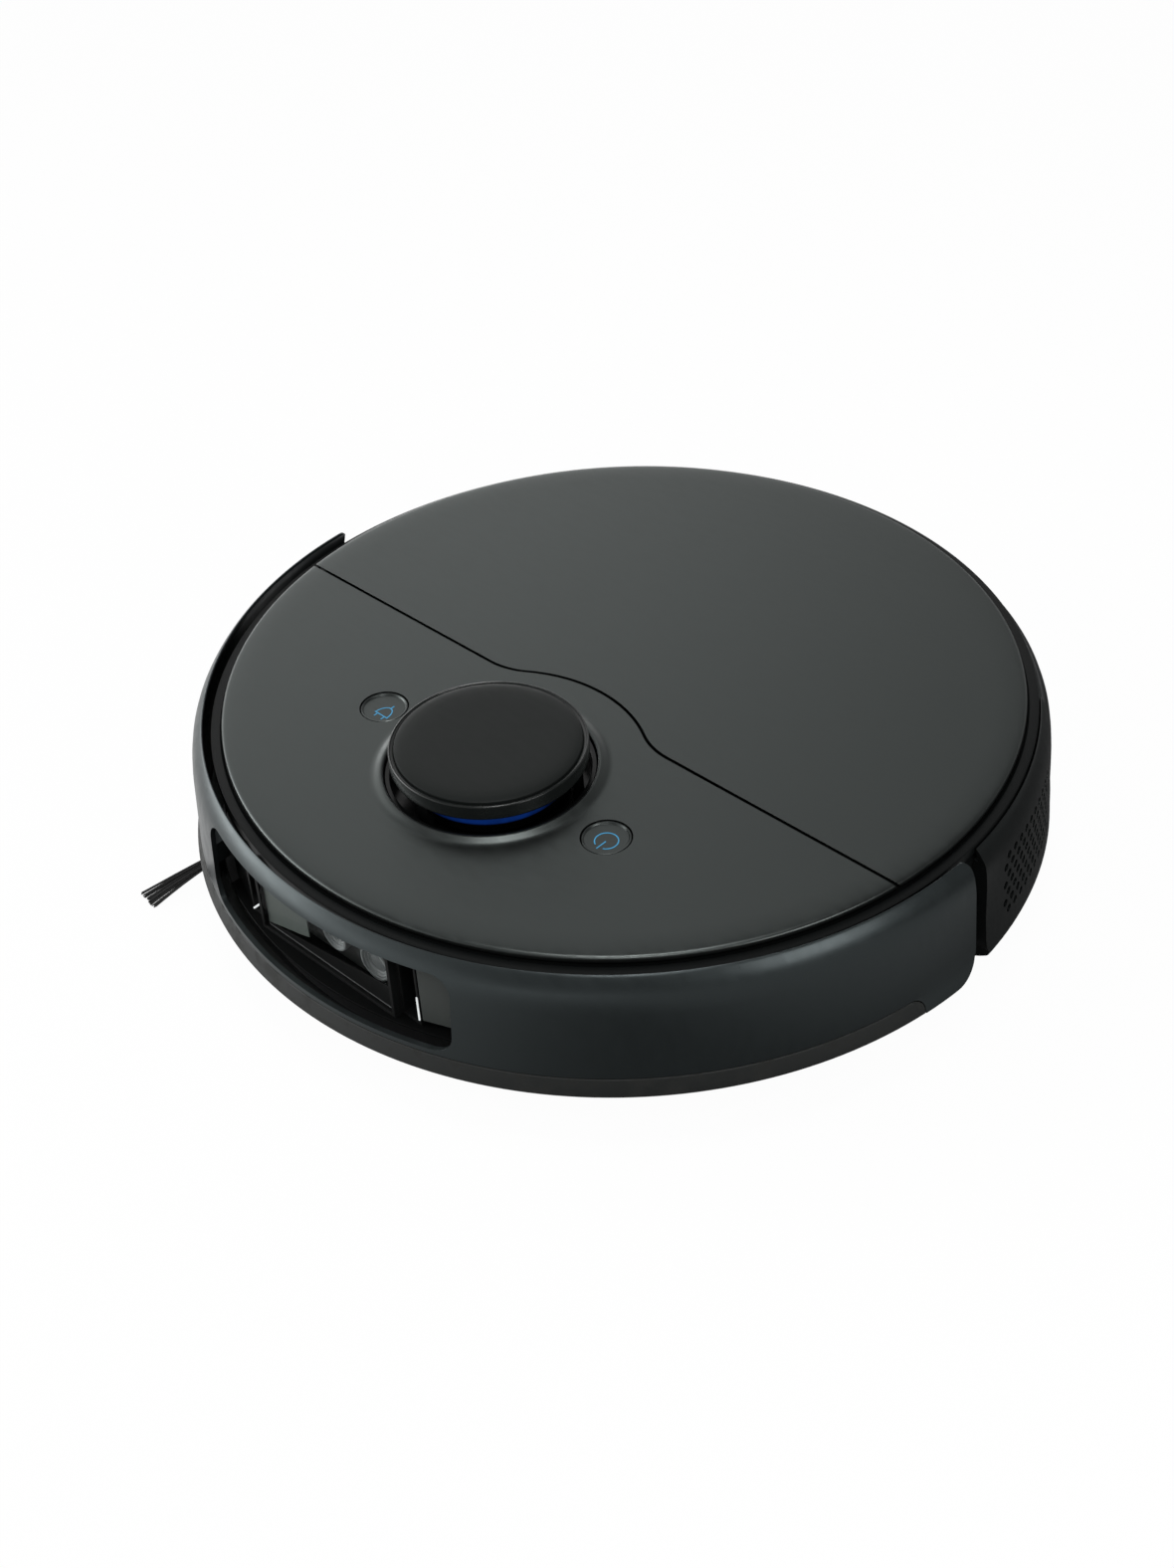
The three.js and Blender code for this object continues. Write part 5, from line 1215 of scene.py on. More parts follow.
@dataclass
class SideShells:
    """The two side shells behind the bumper, the one on +X with the exhaust grille."""

    front_y: float = 12.0
    back_y: float = 100.0
    wall: float = 3.8
    seat: float = 161.8
    first_hole: float = 9.45
    step: float = 1.87
    columns: int = 10
    rows: int = 7
    row_height: float = 4.35
    hole: float = 1.65
    middle_z: float = 42.1

    def section(self) -> list[Pair]:
        """Outside of the shell from below, and then its inside back down."""
        inner = [
            (163.0, 66.4), (165.2, 60), (166.9, 46.6), (167.8, 30), (168.0, 22), (166.5, 18.6), (161.3, 15.0),
            (161.3, 12.2)
        ]
        return BODY + inner

    def holes(self) -> Form:
        """The round holes of the grille, in staggered rows."""
        first = rod("X", self.hole, (158, 174), (0.0, 0.0), 20)
        made: list[Form] = []
        last = (self.rows - 1) // 2
        for row in range(-last, last + 1):
            shift = 0.5 * (row % 2) * self.step
            for column in range(self.columns):
                hole = first.copy().moved(0, 0, self.middle_z + row * self.row_height)
                made.append(hole.rotated(self.first_hole + shift + column * self.step))
        first.discard()
        return made[0].gather(*made[1:])

    def shell(self) -> Form:
        """One shell, on +X, with its front flange."""
        ring = turned(self.section())
        ring.within(block((0, FAR), (self.front_y, self.back_y), TALL))
        flange = turned([*BODY[:-4], (self.seat, 62), (self.seat, 12.2)])
        flange.within(block((0, FAR), (self.front_y, self.front_y + self.wall), TALL))
        y = self.front_y
        corner = [
            (y - 1, 10), (y + 3.9, 10), (y + 3.3, 19), (y + 2.1, 22), (y + 1.4, 26), (y + 1.2, 33),
            (y + 1.25, 48), (y + 1.4, 58), (y + 1.2, 61.5), (y + 0.5, 65), (y, 68.0), (y - 1, 70)
        ]
        return ring.join(flange).cut(sideways(corner, 0, FAR)).weld()

    def make(self) -> None:
        """Makes both shells."""
        left = self.shell()
        right = left.copy().mirrored()
        left.cut(self.holes()).weld(0.01)
        for form, name, node in (
            (left, "left_shell_with_grille", "side_shell_left"), (right, "right_shell", "side_shell_right")
        ):
            form.soften(0.4, 3, 38)
            place(form, name, "chassis", "shell", Coat.SHELL, node)


# ---------------------------------------------------------------- bumper


@dataclass
class Bumper:
    """The sprung front bumper with its camera window, and the soft strip along its lower edge."""

    skirt: float = 175.0
    low_z: float = 21.5
    strip_h: float = 7.6
    end_y: float = 1.7
    strip_end_y: float = -27.4
    strip_corner: float = 5.5
    top: float = 72.8
    window: tuple[float, float, float, float] = (131.0, 35.0, 31.5, 8.0)
    low_corner: float = 12.0
    top_corner: float = 4.5
    strip_gap: float = 0.45
    strip_reach: float = 200.0
    hook: float = 157.8
    spring: Triple = (72.0, 47.0, -150.0)

    def section(self) -> list[Pair]:
        """Outside of the bumper from below, and then its inside back down."""
        outer = [
            (175.0, 21.5), (174.1, 25.4), (173.2, 29.4), (172.8, 35), (172.3, 43), (171.8, 51), (171.3, 58.5),
            (170.8, 62.4), (170.1, 65.6), (169.2, 68), (168.1, 69.9), (167.2, 71.2), (166.5, 72.1),
            (165.9, 72.72), (165.6, 72.8), (165.35, 72.5)
        ]
        inner = [(165.35, 71.5), (167.0, 69.2), (168.0, 65.8), (169.1, 59.6), (171.0, 30), (172.8, 21.5)]
        return outer + inner

    def shell(self) -> Form:
        """The bumper's wall with its window, its soft lower corners and its rebate for the strip."""
        ring = turned(self.section())
        ring.within(block((-FAR, FAR), (-FAR, self.end_y), TALL))
        ring.cut(sideways(self.strip_space(self.strip_gap), -FAR, FAR))
        width, height, z0, corner = self.window
        hole = rounded_rectangle(width, height, corner, (0.0, z0 + height / 2), 8)
        ring.cut(standing(hole, -FAR, -120))
        y, z, r = self.end_y, self.low_z, self.low_corner
        bevel = [
            (y + 1, z - 1), (y + 1, z + r), *[(y - r + a, z + r + b) for a, b in arc((0, 0), r, 0, -90, 10)],
            (y - r, z - 1)
        ]
        top, c = self.top, self.top_corner
        round_top = [
            (y + 1, top - c), (y + 1, top + 4), (y - c, top + 4), *arc((y - c, top - c), c, 90, 0, 8)
        ]
        ring.cut(sideways(bevel, -FAR, FAR), sideways(round_top, -FAR, FAR))
        return ring.weld(0.04)

    def strip_space(self, gap: float) -> list[Pair]:
        """Side outline of the space that the strip takes up, larger by a gap."""
        y, z, c = self.strip_end_y, self.low_z + self.strip_h, self.strip_corner
        front = -self.strip_reach
        return [(front, 0), (y + gap, 0), *arc((y - c, z - c), c + gap, 0, 90, 10), (front, z + gap)]

    def hooks(self) -> list[Form]:
        """The hooks and spring seats inside the bumper."""
        made: list[Form] = []
        hook = self.hook
        for angle in HOOK_ANGLES:
            arm = block((hook - 2.4, 171.4), (-6, 6), (34.4, 36.4)).join(
                block((hook - 2.4, hook), (-6, 6), (29.4, 35.4))
            )
            made.append(arm.weld().soften(0.3, 1).rotated(angle))
        x, z, front = self.spring
        for side in (1, -1):
            seat = block((side * x - 4.5, side * x + 4.5), (front - 6, front), (z - 4.5, z + 4.5))
            peg = rod("Y", 1.8, (front - 1, front + 2.5), (side * x, z), 16)
            made.append(seat.within(rod("Z", 170.5, TALL, facets=120)).join(peg))
        return made

    def strip(self) -> Form:
        """The soft strip, with a fine groove along its upper edge and round ends."""
        z0, z1, r = self.low_z, self.low_z + self.strip_h, self.skirt
        section = [
            (r - 9.7, z0 + 0.3), (r - 9.4, z0), (r - 0.7, z0), (r - 0.12, z0 + 0.2), (r, z0 + 0.8),
            (r - 0.5, z0 + 3), (r - 1.35, z1 - 1.1), (r - 1.6, z1 - 0.3), (r - 1.95, z1), (r - 3.6, z1),
            (r - 3.9, z1 - 0.3), (r - 2.9, z0 + 2.2), (r - 3.2, z0 + 2), (r - 9.4, z0 + 2),
            (r - 9.7, z0 + 1.7)
        ]
        ring = turned(section)
        return ring.within(sideways(self.strip_space(0.0), -FAR, FAR)).weld(0.04)

    def make(self) -> None:
        """Makes the bumper and its strip."""
        shell = self.shell()
        shell.soften(0.5, 3, 40)
        shell.gather(*self.hooks())
        place(shell, "bumper_shell", "bumper", "bumper", Coat.BUMPER, "front_bumper")
        place(
            self.strip().soften(0.25, 2, 50), "bumper_soft_strip", "bumper", "soft_strip", Coat.STRIP,
            "bumper_strip"
        )


# ---------------------------------------------------------------- cameras behind the window


@dataclass
class CameraBay:
    """The chamber behind the bumper's window, with its smoked glass, two lenses and two steel clips that glow
    as a painted glint.
    """

    half: float = 35.0
    floor: float = 33.2
    roof: float = 64.0
    back: float = -141.0
    wall_y: float = -152.6
    front: float = -159.6
    lens_z: float = 46.0
    lenses: tuple[tuple[str, float, float], ...] = (("camera_lens", 0.5, 6.4), ("projector_lens", 22.4, 7.6))

    def housing(self) -> None:
        """The housing, and the folded panel and ledge inside it that catch the light."""
        place(
            from_cad("sensor_housing", 0.3), "sensor_box", "chassis", "matte_black", Coat.BLACK,
            "sensor_housing"
        )
        half, floor, roof = self.half - 0.2, self.floor + 0.1, self.roof - 0.2
        wall_y, front = self.wall_y, self.front
        plan = [
            (-half, front), (-half + 0.5, front), (-half + 0.5, wall_y), (half, wall_y), (half, wall_y + 0.8),
            (-half, wall_y + 0.8)
        ]
        place(prism(plan, floor, roof), "camera_visor", "chassis", "grey_plastic", Coat.WING)
        plate = standing(
            [(-half, 34.6), (-15, 39.8), (-10.2, 41.4), (-10.2, roof), (-half, roof)], front, front + 0.5
        )
        place(plate.soften(0.1, 2), "camera_plate", "chassis", "grey_plastic", Coat.PANEL)
        face = standing([(-half, floor), (half, floor), (half, 44.6), (-half, 34.4)], front, front + 0.5)
        place(face.soften(0.1, 2), "camera_face", "chassis", "matte_black", Coat.BLACK)
        ledge = block((-half, half), (front - 0.1, front + 0.5), (floor, floor + 0.7)).soften(0.15, 2)
        place(ledge, "camera_ledge", "chassis", "grey_plastic", Coat.LEDGE)

    def wings(self) -> None:
        """The skirts that close the window beside the housing, one with a painted lit grey, the sill under it
        and the clips with a painted glint.
        """
        for side, name in ((1, "left"), (-1, "right")):
            outline = [(47.3, -150), (66, -146), (66, -148.9), (64, -150.7), (47.3, -157.2)]
            # The +X wing takes a painted lit grey and its mirror twin on -X a gloss black: painted light on
            # one copy of a black part.
            wing = prism([(side * x, y) for x, y in outline][:: side], 34.4, 64.6).soften(0.4, 2)
            place(
                wing, f"window_wing_{name}", "chassis", "matte_black", Coat.WING if side > 0 else Coat.GLOSS
            )
        sill = turned(
            [(154.0, 31.0), (166.7, 31.0), (166.9, 31.2), (166.9, 31.7), (166.7, 31.9), (154.0, 31.9)]
        )
        sill.within(block((-65, 65), (-FAR, -120), (20, 40)))
        place(sill, "window_sill", "chassis", "matte_black", Coat.DARK)
        # The two steel clips glow near-white: a painted glint on each.
        bar = block((-44.7, -44.0), (-159.0, -154.4), (34.8, 35.4)).soften(0.1, 1)
        place(bar, "housing_clip_right", "chassis", "steel", Coat.GLINT)
        post = block((45.9, 46.6), (-157.9, -157.4), (34.4, 45.8)).soften(0.1, 1)
        place(post, "housing_clip_left", "chassis", "steel", Coat.GLINT)

    def lens(self, radius: float) -> Form:
        """A lens barrel's rings, turned, looking forwards."""
        r = radius
        section = [
            (0.0, 0.0), (r + 1, 0.0), (r + 1, 8.6), (r + 0.7, 9), (r, 9), (r, 14.7), (r - 0.3, 15),
            (r - 0.9, 15), (r - 1.2, 14.2), (r - 1.8, 14.2), (r - 2.1, 13.5), (r - 2.8, 13.5),
            (r - 3.1, 12.9), (0.0, 12.9)
        ]
        return turned(section, ROUND)

    def glass(self, radius: float) -> Form:
        """The domed front glass of a lens."""
        dome = [
            (radius - 3.2, 13.0),
            *[(max(p, 0.01), 11.6 + q) for p, q in arc((0, 0), radius - 3.2, 18, 90, 10)]
        ]
        flat = [(p, 13.0 + (q - 13.0) * 0.42) for p, q in dome]
        return turned([(0.0, flat[-1][1]), *flat[::-1][1:], (0.0, 13.0)], ROUND)

    def make(self) -> None:
        """Makes the housing, the wings, the lenses and the glass."""
        self.housing()
        self.wings()
        for node, x, radius in self.lenses:
            y = self.back - 0.3
            # Each barrel takes the lens rings' pale grey, which is painted light.
            barrel = self.lens(radius).rotated(90, "X").moved(x, y, self.lens_z)
            place(barrel, f"{node}_barrel", "chassis", "lens", Coat.LENS_RING, node)
            dome = self.glass(radius).rotated(90, "X").moved(x, y, self.lens_z)
            place(dome, f"{node}_glass", "chassis", "lens", Coat.LENS)
        pane = from_cad("sensor_glass", 0.2)
        place(pane, "smoked_pane", "chassis", "smoked_glass", Coat.SMOKED, "sensor_glass")


# ---------------------------------------------------------------- lidar turret


@dataclass
class Turret:
    """The lidar turret: its bowl and posts, the spinning drum, and the cap that the posts carry."""

    y: float = TURRET_Y
    hole: float = TURRET_HOLE
    cap_r: float = 37.9
    cap_top: float = 86.2
    cap_h: float = 7.0
    drum_r: float = 30.0
    floor: float = 62.0
    ceiling: float = 83.8
    post: Pair = (32.6, 35.4)
    post_angles: tuple[float, ...] = (-90, 30, 150)
    eye_z: float = 74.4
    eyes: tuple[tuple[str, float, float], ...] = (("receiver", 11.0, 5.2), ("sender", -11.0, 3.2))
    eye_rim: float = 0.4

    def bowl(self) -> None:
        """The bowl under the turret, smooth round its own works."""
        works = from_cad("lidar_base", 0.0)
        works.within(
            rod("Z", self.hole - 2.4, (30, 90), (0.0, self.y), 28), block((-80, 80), (-130, 0), (30, 66.5))
        )
        r = self.hole - 0.4
        section = [
            (r - 3, self.floor), (r, self.floor), (r, 73.0), (r - 0.2, 73.2), (r - 1.6, 73.2),
            (r - 1.8, 73.0), (r - 1.8, 66.5), (r - 2.4, 64.9), (r - 3, self.floor + 2)
        ]
        works.weld().gather(turned(section, ROUND, (0.0, self.y)))
        for angle in self.post_angles:
            post = block(
                (self.post[0], self.post[1]), (-3, 3), (self.floor + 1, self.ceiling - 0.3)
            ).soften(0.5, 3)
            works.gather(post.rotated(angle).moved(0, self.y, 0))
        place(works, "turret_bowl", "chassis", "matte_black", Coat.GLOSS, "lidar_base")

    def drum(self) -> None:
        """The spinning drum with its two lens eyes, and a band with a painted blue glow on the camera's side.
        """
        r, top = self.drum_r, self.ceiling - 2
        section = [
            (3.4, 55.6), (25.2, 55.6), (24.2, 56.4), (24.2, 64.6), (25, 65.6), (r - 1, 66.2), (r, 67),
            (r, top - 0.8), (r - 0.8, top), (3.6, top), (3.4, top - 1)
        ]
        drum = turned(section, ROUND, (0.0, self.y))
        for _, x, radius in self.eyes:
            drum.cut(rod("Y", radius + self.eye_rim, (self.y - 32, self.y - 22), (x, self.eye_z), 48))
        drum.weld().soften(0.3, 2, 40)
        place(drum, "turret_drum", "lidar_head", "matte_black", Coat.GLOSS, "lidar_rotor")
        for name, x, radius in self.eyes:
            dome = [(radius, 0.0), *[(max(p, 0.01), 0.4 * q) for p, q in arc((0, 0), radius, 8, 90, 8)]]
            eye = turned([(0.0, dome[-1][1]), *dome[::-1][1:], (0.0, 0.0)], SMALL)
            eye.rotated(90, "X").moved(x, self.y - 23.5, self.eye_z)
            place(eye, f"turret_{name}_eye", "lidar_head", "lens", Coat.LENS)
        # A band just outside the drum carries the painted glow, faded away from the camera's side and above
        # and below its middle.
        band = turned(
            [(r + 0.05, 70.4), (r + 0.3, 70.6), (r + 0.3, 75.4), (r + 0.05, 75.6)], ROUND, (0.0, self.y)
        )
        place(band, "turret_painted_glow_band", "chassis", "smoked_glass", Coat.GLOW)

    def cap(self) -> None:
        """The cap with a groove under its rolled rim, and the disc let into its top."""
        r, top, low_z = self.cap_r, self.cap_top, self.cap_top - self.cap_h
        section = [
            (0.0, self.ceiling), (r - 2, self.ceiling), (r - 1.6, low_z + 0.4), (r - 1.3, low_z),
            (r - 0.5, low_z), (r - 0.15, low_z + 0.4), (r, low_z + 1.0), (r, low_z + 3),
            (r - 0.05, top - 1.3), (r - 0.16, top - 1.0), (r - 0.36, top - 0.8), (r - 0.6, top - 0.74),
            (r - 0.85, top - 0.86), (r - 1.0, top - 1.1), (r - 1.9, top - 1.25), (r - 2.4, top - 1.6),
            (0.0, top - 1.6)
        ]
        place(turned(section, ROUND, (0.0, self.y)), "turret_cap", "chassis", "cap", Coat.CAP, "lidar_cap")
        d = r - 2.3
        disc = [
            (0.0, top - 1.4), (d, top - 1.4), (d, top - 0.7), (d - 0.12, top - 0.45), (d - 0.4, top - 0.3),
            (d - 1.4, top - 0.06), (d - 3, top + 0.18), (d - 6, top + 0.32), (d - 12, top + 0.38),
            (0.0, top + 0.38)
        ]
        place(
            turned(disc, ROUND, (0.0, self.y)), "turret_disc", "chassis", "cap", Coat.CAP_DISC,
            "lidar_cap_disc"
        )

    def make(self) -> None:
        """Makes the turret."""
        self.bowl()
        self.drum()
        self.cap()


# ---------------------------------------------------------------- buttons


@dataclass
class Buttons:
    """The two round buttons beside the turret, each with a lit line icon."""

    x: float = BUTTON[0]
    y: float = BUTTON[1]
    radius: float = BUTTON[2]
    top: float = 73.5
    line: float = 0.45
    dish: float = 0.8
    shift: float = BUTTON_SHIFT

    def button(self) -> Form:
        """A dished button with its stem."""
        r, top = self.radius, self.top
        stem = turned([(0.0, 64.8), (2.4, 64.8), (2.6, 65), (2.6, 71.5), (0.0, 71.5)], SMALL)
        section = [
            (0.0, 71), (r - 0.4, 71), (r, 71.4), (r, top - 0.5), (r - 0.12, top - 0.25),
            (r - 0.35, top - 0.12), (r - 0.6, top - 0.16), (r - 0.75, top - 0.3),
            (r - 1.0, top - self.dish + 0.1), (r - 1.15, top - self.dish), (0.0, top - self.dish)
        ]
        return turned(section, 64).moved(self.shift, -self.shift).gather(stem)

    def stroke(self, points: Sequence[Pair]) -> Form:
        """A raised line through points, such as a stroke of an icon.

        Args:
            points: points of the line's middle, about the button's centre.

        Returns:
            The line's solid.
        """
        half = self.line / 2
        sides: list[list[Pair]] = [[], []]
        for i, (x, y) in enumerate(points):
            before, after = points[max(i - 1, 0)], points[min(i + 1, len(points) - 1)]
            along = Vector((after[0] - before[0], after[1] - before[1])).normalized()
            for side, sign in zip(sides, (1, -1)):
                side.append((x - sign * half * along.y, y + sign * half * along.x))
        return prism(sides[0] + sides[1][::-1], self.top - self.dish - 0.1, self.top - self.dish + 0.06)

    def power_icon(self) -> list[Form]:
        """An open ring with a bar in its gap."""
        x, y = 0.8, -0.8
        return [self.stroke(arc((x, y), 4.4, -65, 245, 40)), self.stroke([(x, y - 0.4), (x, y - 5.4)])]

    def plug_icon(self) -> list[Form]:
        """A plug: a domed body on a flat face, with two prongs and the start of its lead."""
        half, x, low_y, high_y = 3.2, 2.0, -3.6, 1.5
        dome = [
            (x + half * math.cos(t), low_y + (high_y - low_y) * math.sin(t))
            for t in (math.pi * i / 24 for i in range(25))
        ]
        face = [(x - half - 0.4, low_y), (x + half + 0.4, low_y)]
        prongs = [[(x + side * 1.9, low_y), (x + side * 1.9, low_y - 2.0)] for side in (-1, 1)]
        return [self.stroke(points) for points in (dome, face, *prongs, [(x, high_y), (x, high_y + 1.9)])]

    def make(self) -> None:
        """Makes both buttons with their icons."""
        for name, side, icon in (
            ("home_button", -1, self.plug_icon()), ("power_button", 1, self.power_icon())
        ):
            button = self.button().moved(side * self.x, self.y, 0)
            place(button, f"{name}_cap", name, "satin_cover", Coat.COVER, name)
            lines = icon[0].gather(*icon[1:])
            place(
                lines.moved(side * self.x + self.shift, self.y - self.shift), f"{name}_icon", name,
                "lens", Coat.ICON
            )


# ---------------------------------------------------------------- wheels


@dataclass
class Wheels:
    """The drive wheels with their deep tread, and the caster in front."""

    radius: float = 31.0
    x: float = 117.5
    width: float = 17.0
    rim: float = 23.4
    lugs: int = 18
    windows: int = 5
    arm_edge: float = 0.5
    caster: Triple = (0.0, -118.0, 16.5)
    caster_wheel: Triple = (11.5, 4.0, 6.2)

    def tyre(self) -> Form:
        """A tyre with a band of staggered lugs on each shoulder."""
        half, r = self.width / 2, self.radius
        base = r - 1.6
        section = [
            (self.rim + 0.3, -half + 0.4), (self.rim + 0.7, -half), (base - 1.4, -half),
            (base - 0.4, -half + 0.4), (base, -half + 1.2), (base, half - 1.2), (base - 0.4, half - 0.4),
            (base - 1.4, half), (self.rim + 0.7, half), (self.rim + 0.3, half - 0.4)
        ]
        tyre = turned(section, 144)
        step = 360 / self.lugs
        outline = [(-half + 0.5, -2.9), (-0.4, -1.5), (-0.4, 2.3), (-half + 0.5, 0.9)]
        lug = sideways([(y, z) for z, y in outline], base - 0.6, r - 0.02).soften(0.35, 2)
        for i in range(self.lugs):
            tyre.gather(lug.copy().rotated(i * step), lug.copy().rotated(180, "X").rotated((i + 0.5) * step))
        lug.discard()
        return tyre.rotated(90, "Y")

    def hub(self) -> Form:
        """A wheel hub with a dished face, five windows and an axle stub."""
        half = self.width / 2
        section = [
            (0.0, -half + 1.5), (self.rim - 0.4, -half + 1.5), (self.rim, -half + 1.9),
            (self.rim, half - 1.4), (self.rim - 0.4, half - 1), (self.rim - 2.2, half - 1),
            (self.rim - 2.8, half - 1.5), (self.rim - 3.6, half - 4), (9, half - 4), (8.2, half - 3.4),
            (7.6, half - 1.9), (7.1, half - 1.6), (3.4, half - 1.6), (3.0, half - 2.4), (0.0, half - 2.4)
        ]
        hub = turned(section, ROUND)
        window = prism([(10.5, -2.4), (18.5, -4.6), (18.5, 4.6), (10.5, 2.4)], -half - 1, half)
        hub.cut(*[window.copy().rotated(360 / self.windows * i) for i in range(self.windows)])
        window.discard()
        hub.weld().soften(0.3, 2, 40)
        hub.gather(
            turned([(0.0, -half - 7.5), (2.6, -half - 7.5), (3, -half - 7.1), (3, 0.0), (0.0, 0.0)], SMALL)
        )
        return hub.rotated(90, "Y")

    def drive(self) -> None:
        """Both drive wheels, with their arms."""
        tyre, hub = self.tyre(), self.hub()
        for side, label in ((1, "left"), (-1, "right")):
            for form, piece, slot, coat in (
                (tyre, "tyre", "tyre", Coat.TYRE), (hub, "hub", "grey_plastic", Coat.GREY)
            ):
                node = f"{label}_{'tyre' if piece == 'tyre' else 'wheel_hub'}"
                made = form.copy()
                if side < 0:
                    made.mirrored()
                made.moved(side * self.x, 0, self.radius)
                place(made, f"{label}_drive_{piece}", f"{label}_wheel", slot, coat, node)
            arm = from_cad(f"{label}_drive_arm", self.arm_edge)
            place(arm, f"{label}_gear_arm", f"{label}_drive", "chassis", Coat.CHASSIS, f"{label}_drive_arm")
        tyre.discard()
        hub.discard()

    def caster_pieces(self) -> None:
        """The caster: its turning body, its wheel with a grooved tread, and its pin."""
        x, y, r = self.caster
        wheel_r, trail, half = self.caster_wheel
        body = turned([(0.0, 8.4), (r - 1, 8.4), (r, 9.4), (r, 26.6), (r - 0.4, 27), (0.0, 27)], 64)
        body.join(rod("Z", 3.5, (26, 32)))
        body.cut(
            block((-6.9, 6.9), (-r - 1, r + 1), (0, 2 * wheel_r + 1.4)), block((-r, r), (-r - 1, -8), (0, 13))
        )
        body.cut(rod("X", 1.8, (-20, 20), (trail, wheel_r)))
        place(
            body.weld().soften(0.4, 2, 40).moved(x, y), "caster_body", "caster", "grey_plastic", Coat.GREY,
            "caster_fork"
        )
        section = [
            (1.8, -half), (3.4, -half), (3.8, -half + 0.6), (7.4, -half + 0.6), (7.8, -half),
            (wheel_r - 1.8, -half), (wheel_r - 0.5, -half + 1), (wheel_r, -half + 2.4), (wheel_r, -1),
            (wheel_r - 0.6, -0.7), (wheel_r - 0.6, 0.7), (wheel_r, 1), (wheel_r, half - 2.4),
            (wheel_r - 0.5, half - 1), (wheel_r - 1.8, half), (7.8, half), (7.4, half - 0.6),
            (3.8, half - 0.6), (3.4, half), (1.8, half)
        ]
        wheel = turned(section, 64).rotated(90, "Y").moved(x, y + trail, wheel_r)
        place(wheel, "caster_roller", "caster_wheel", "rubber", Coat.RUBBER, "caster_wheel")
        reach = math.sqrt(r * r - (trail + 2) ** 2)
        section = [
            (0.0, -reach), (1.1, -reach), (1.5, -reach + 0.4), (1.5, reach - 0.4), (1.1, reach), (0.0, reach)
        ]
        pin = turned(section, SMALL).rotated(90, "Y").moved(x, y + trail, wheel_r)
        place(pin, "caster_pin", "caster", "steel", Coat.STEEL, "caster_axle")

    def make(self) -> None:
        """Makes the drive wheels and the caster."""
        self.drive()
        self.caster_pieces()


# ---------------------------------------------------------------- brushes


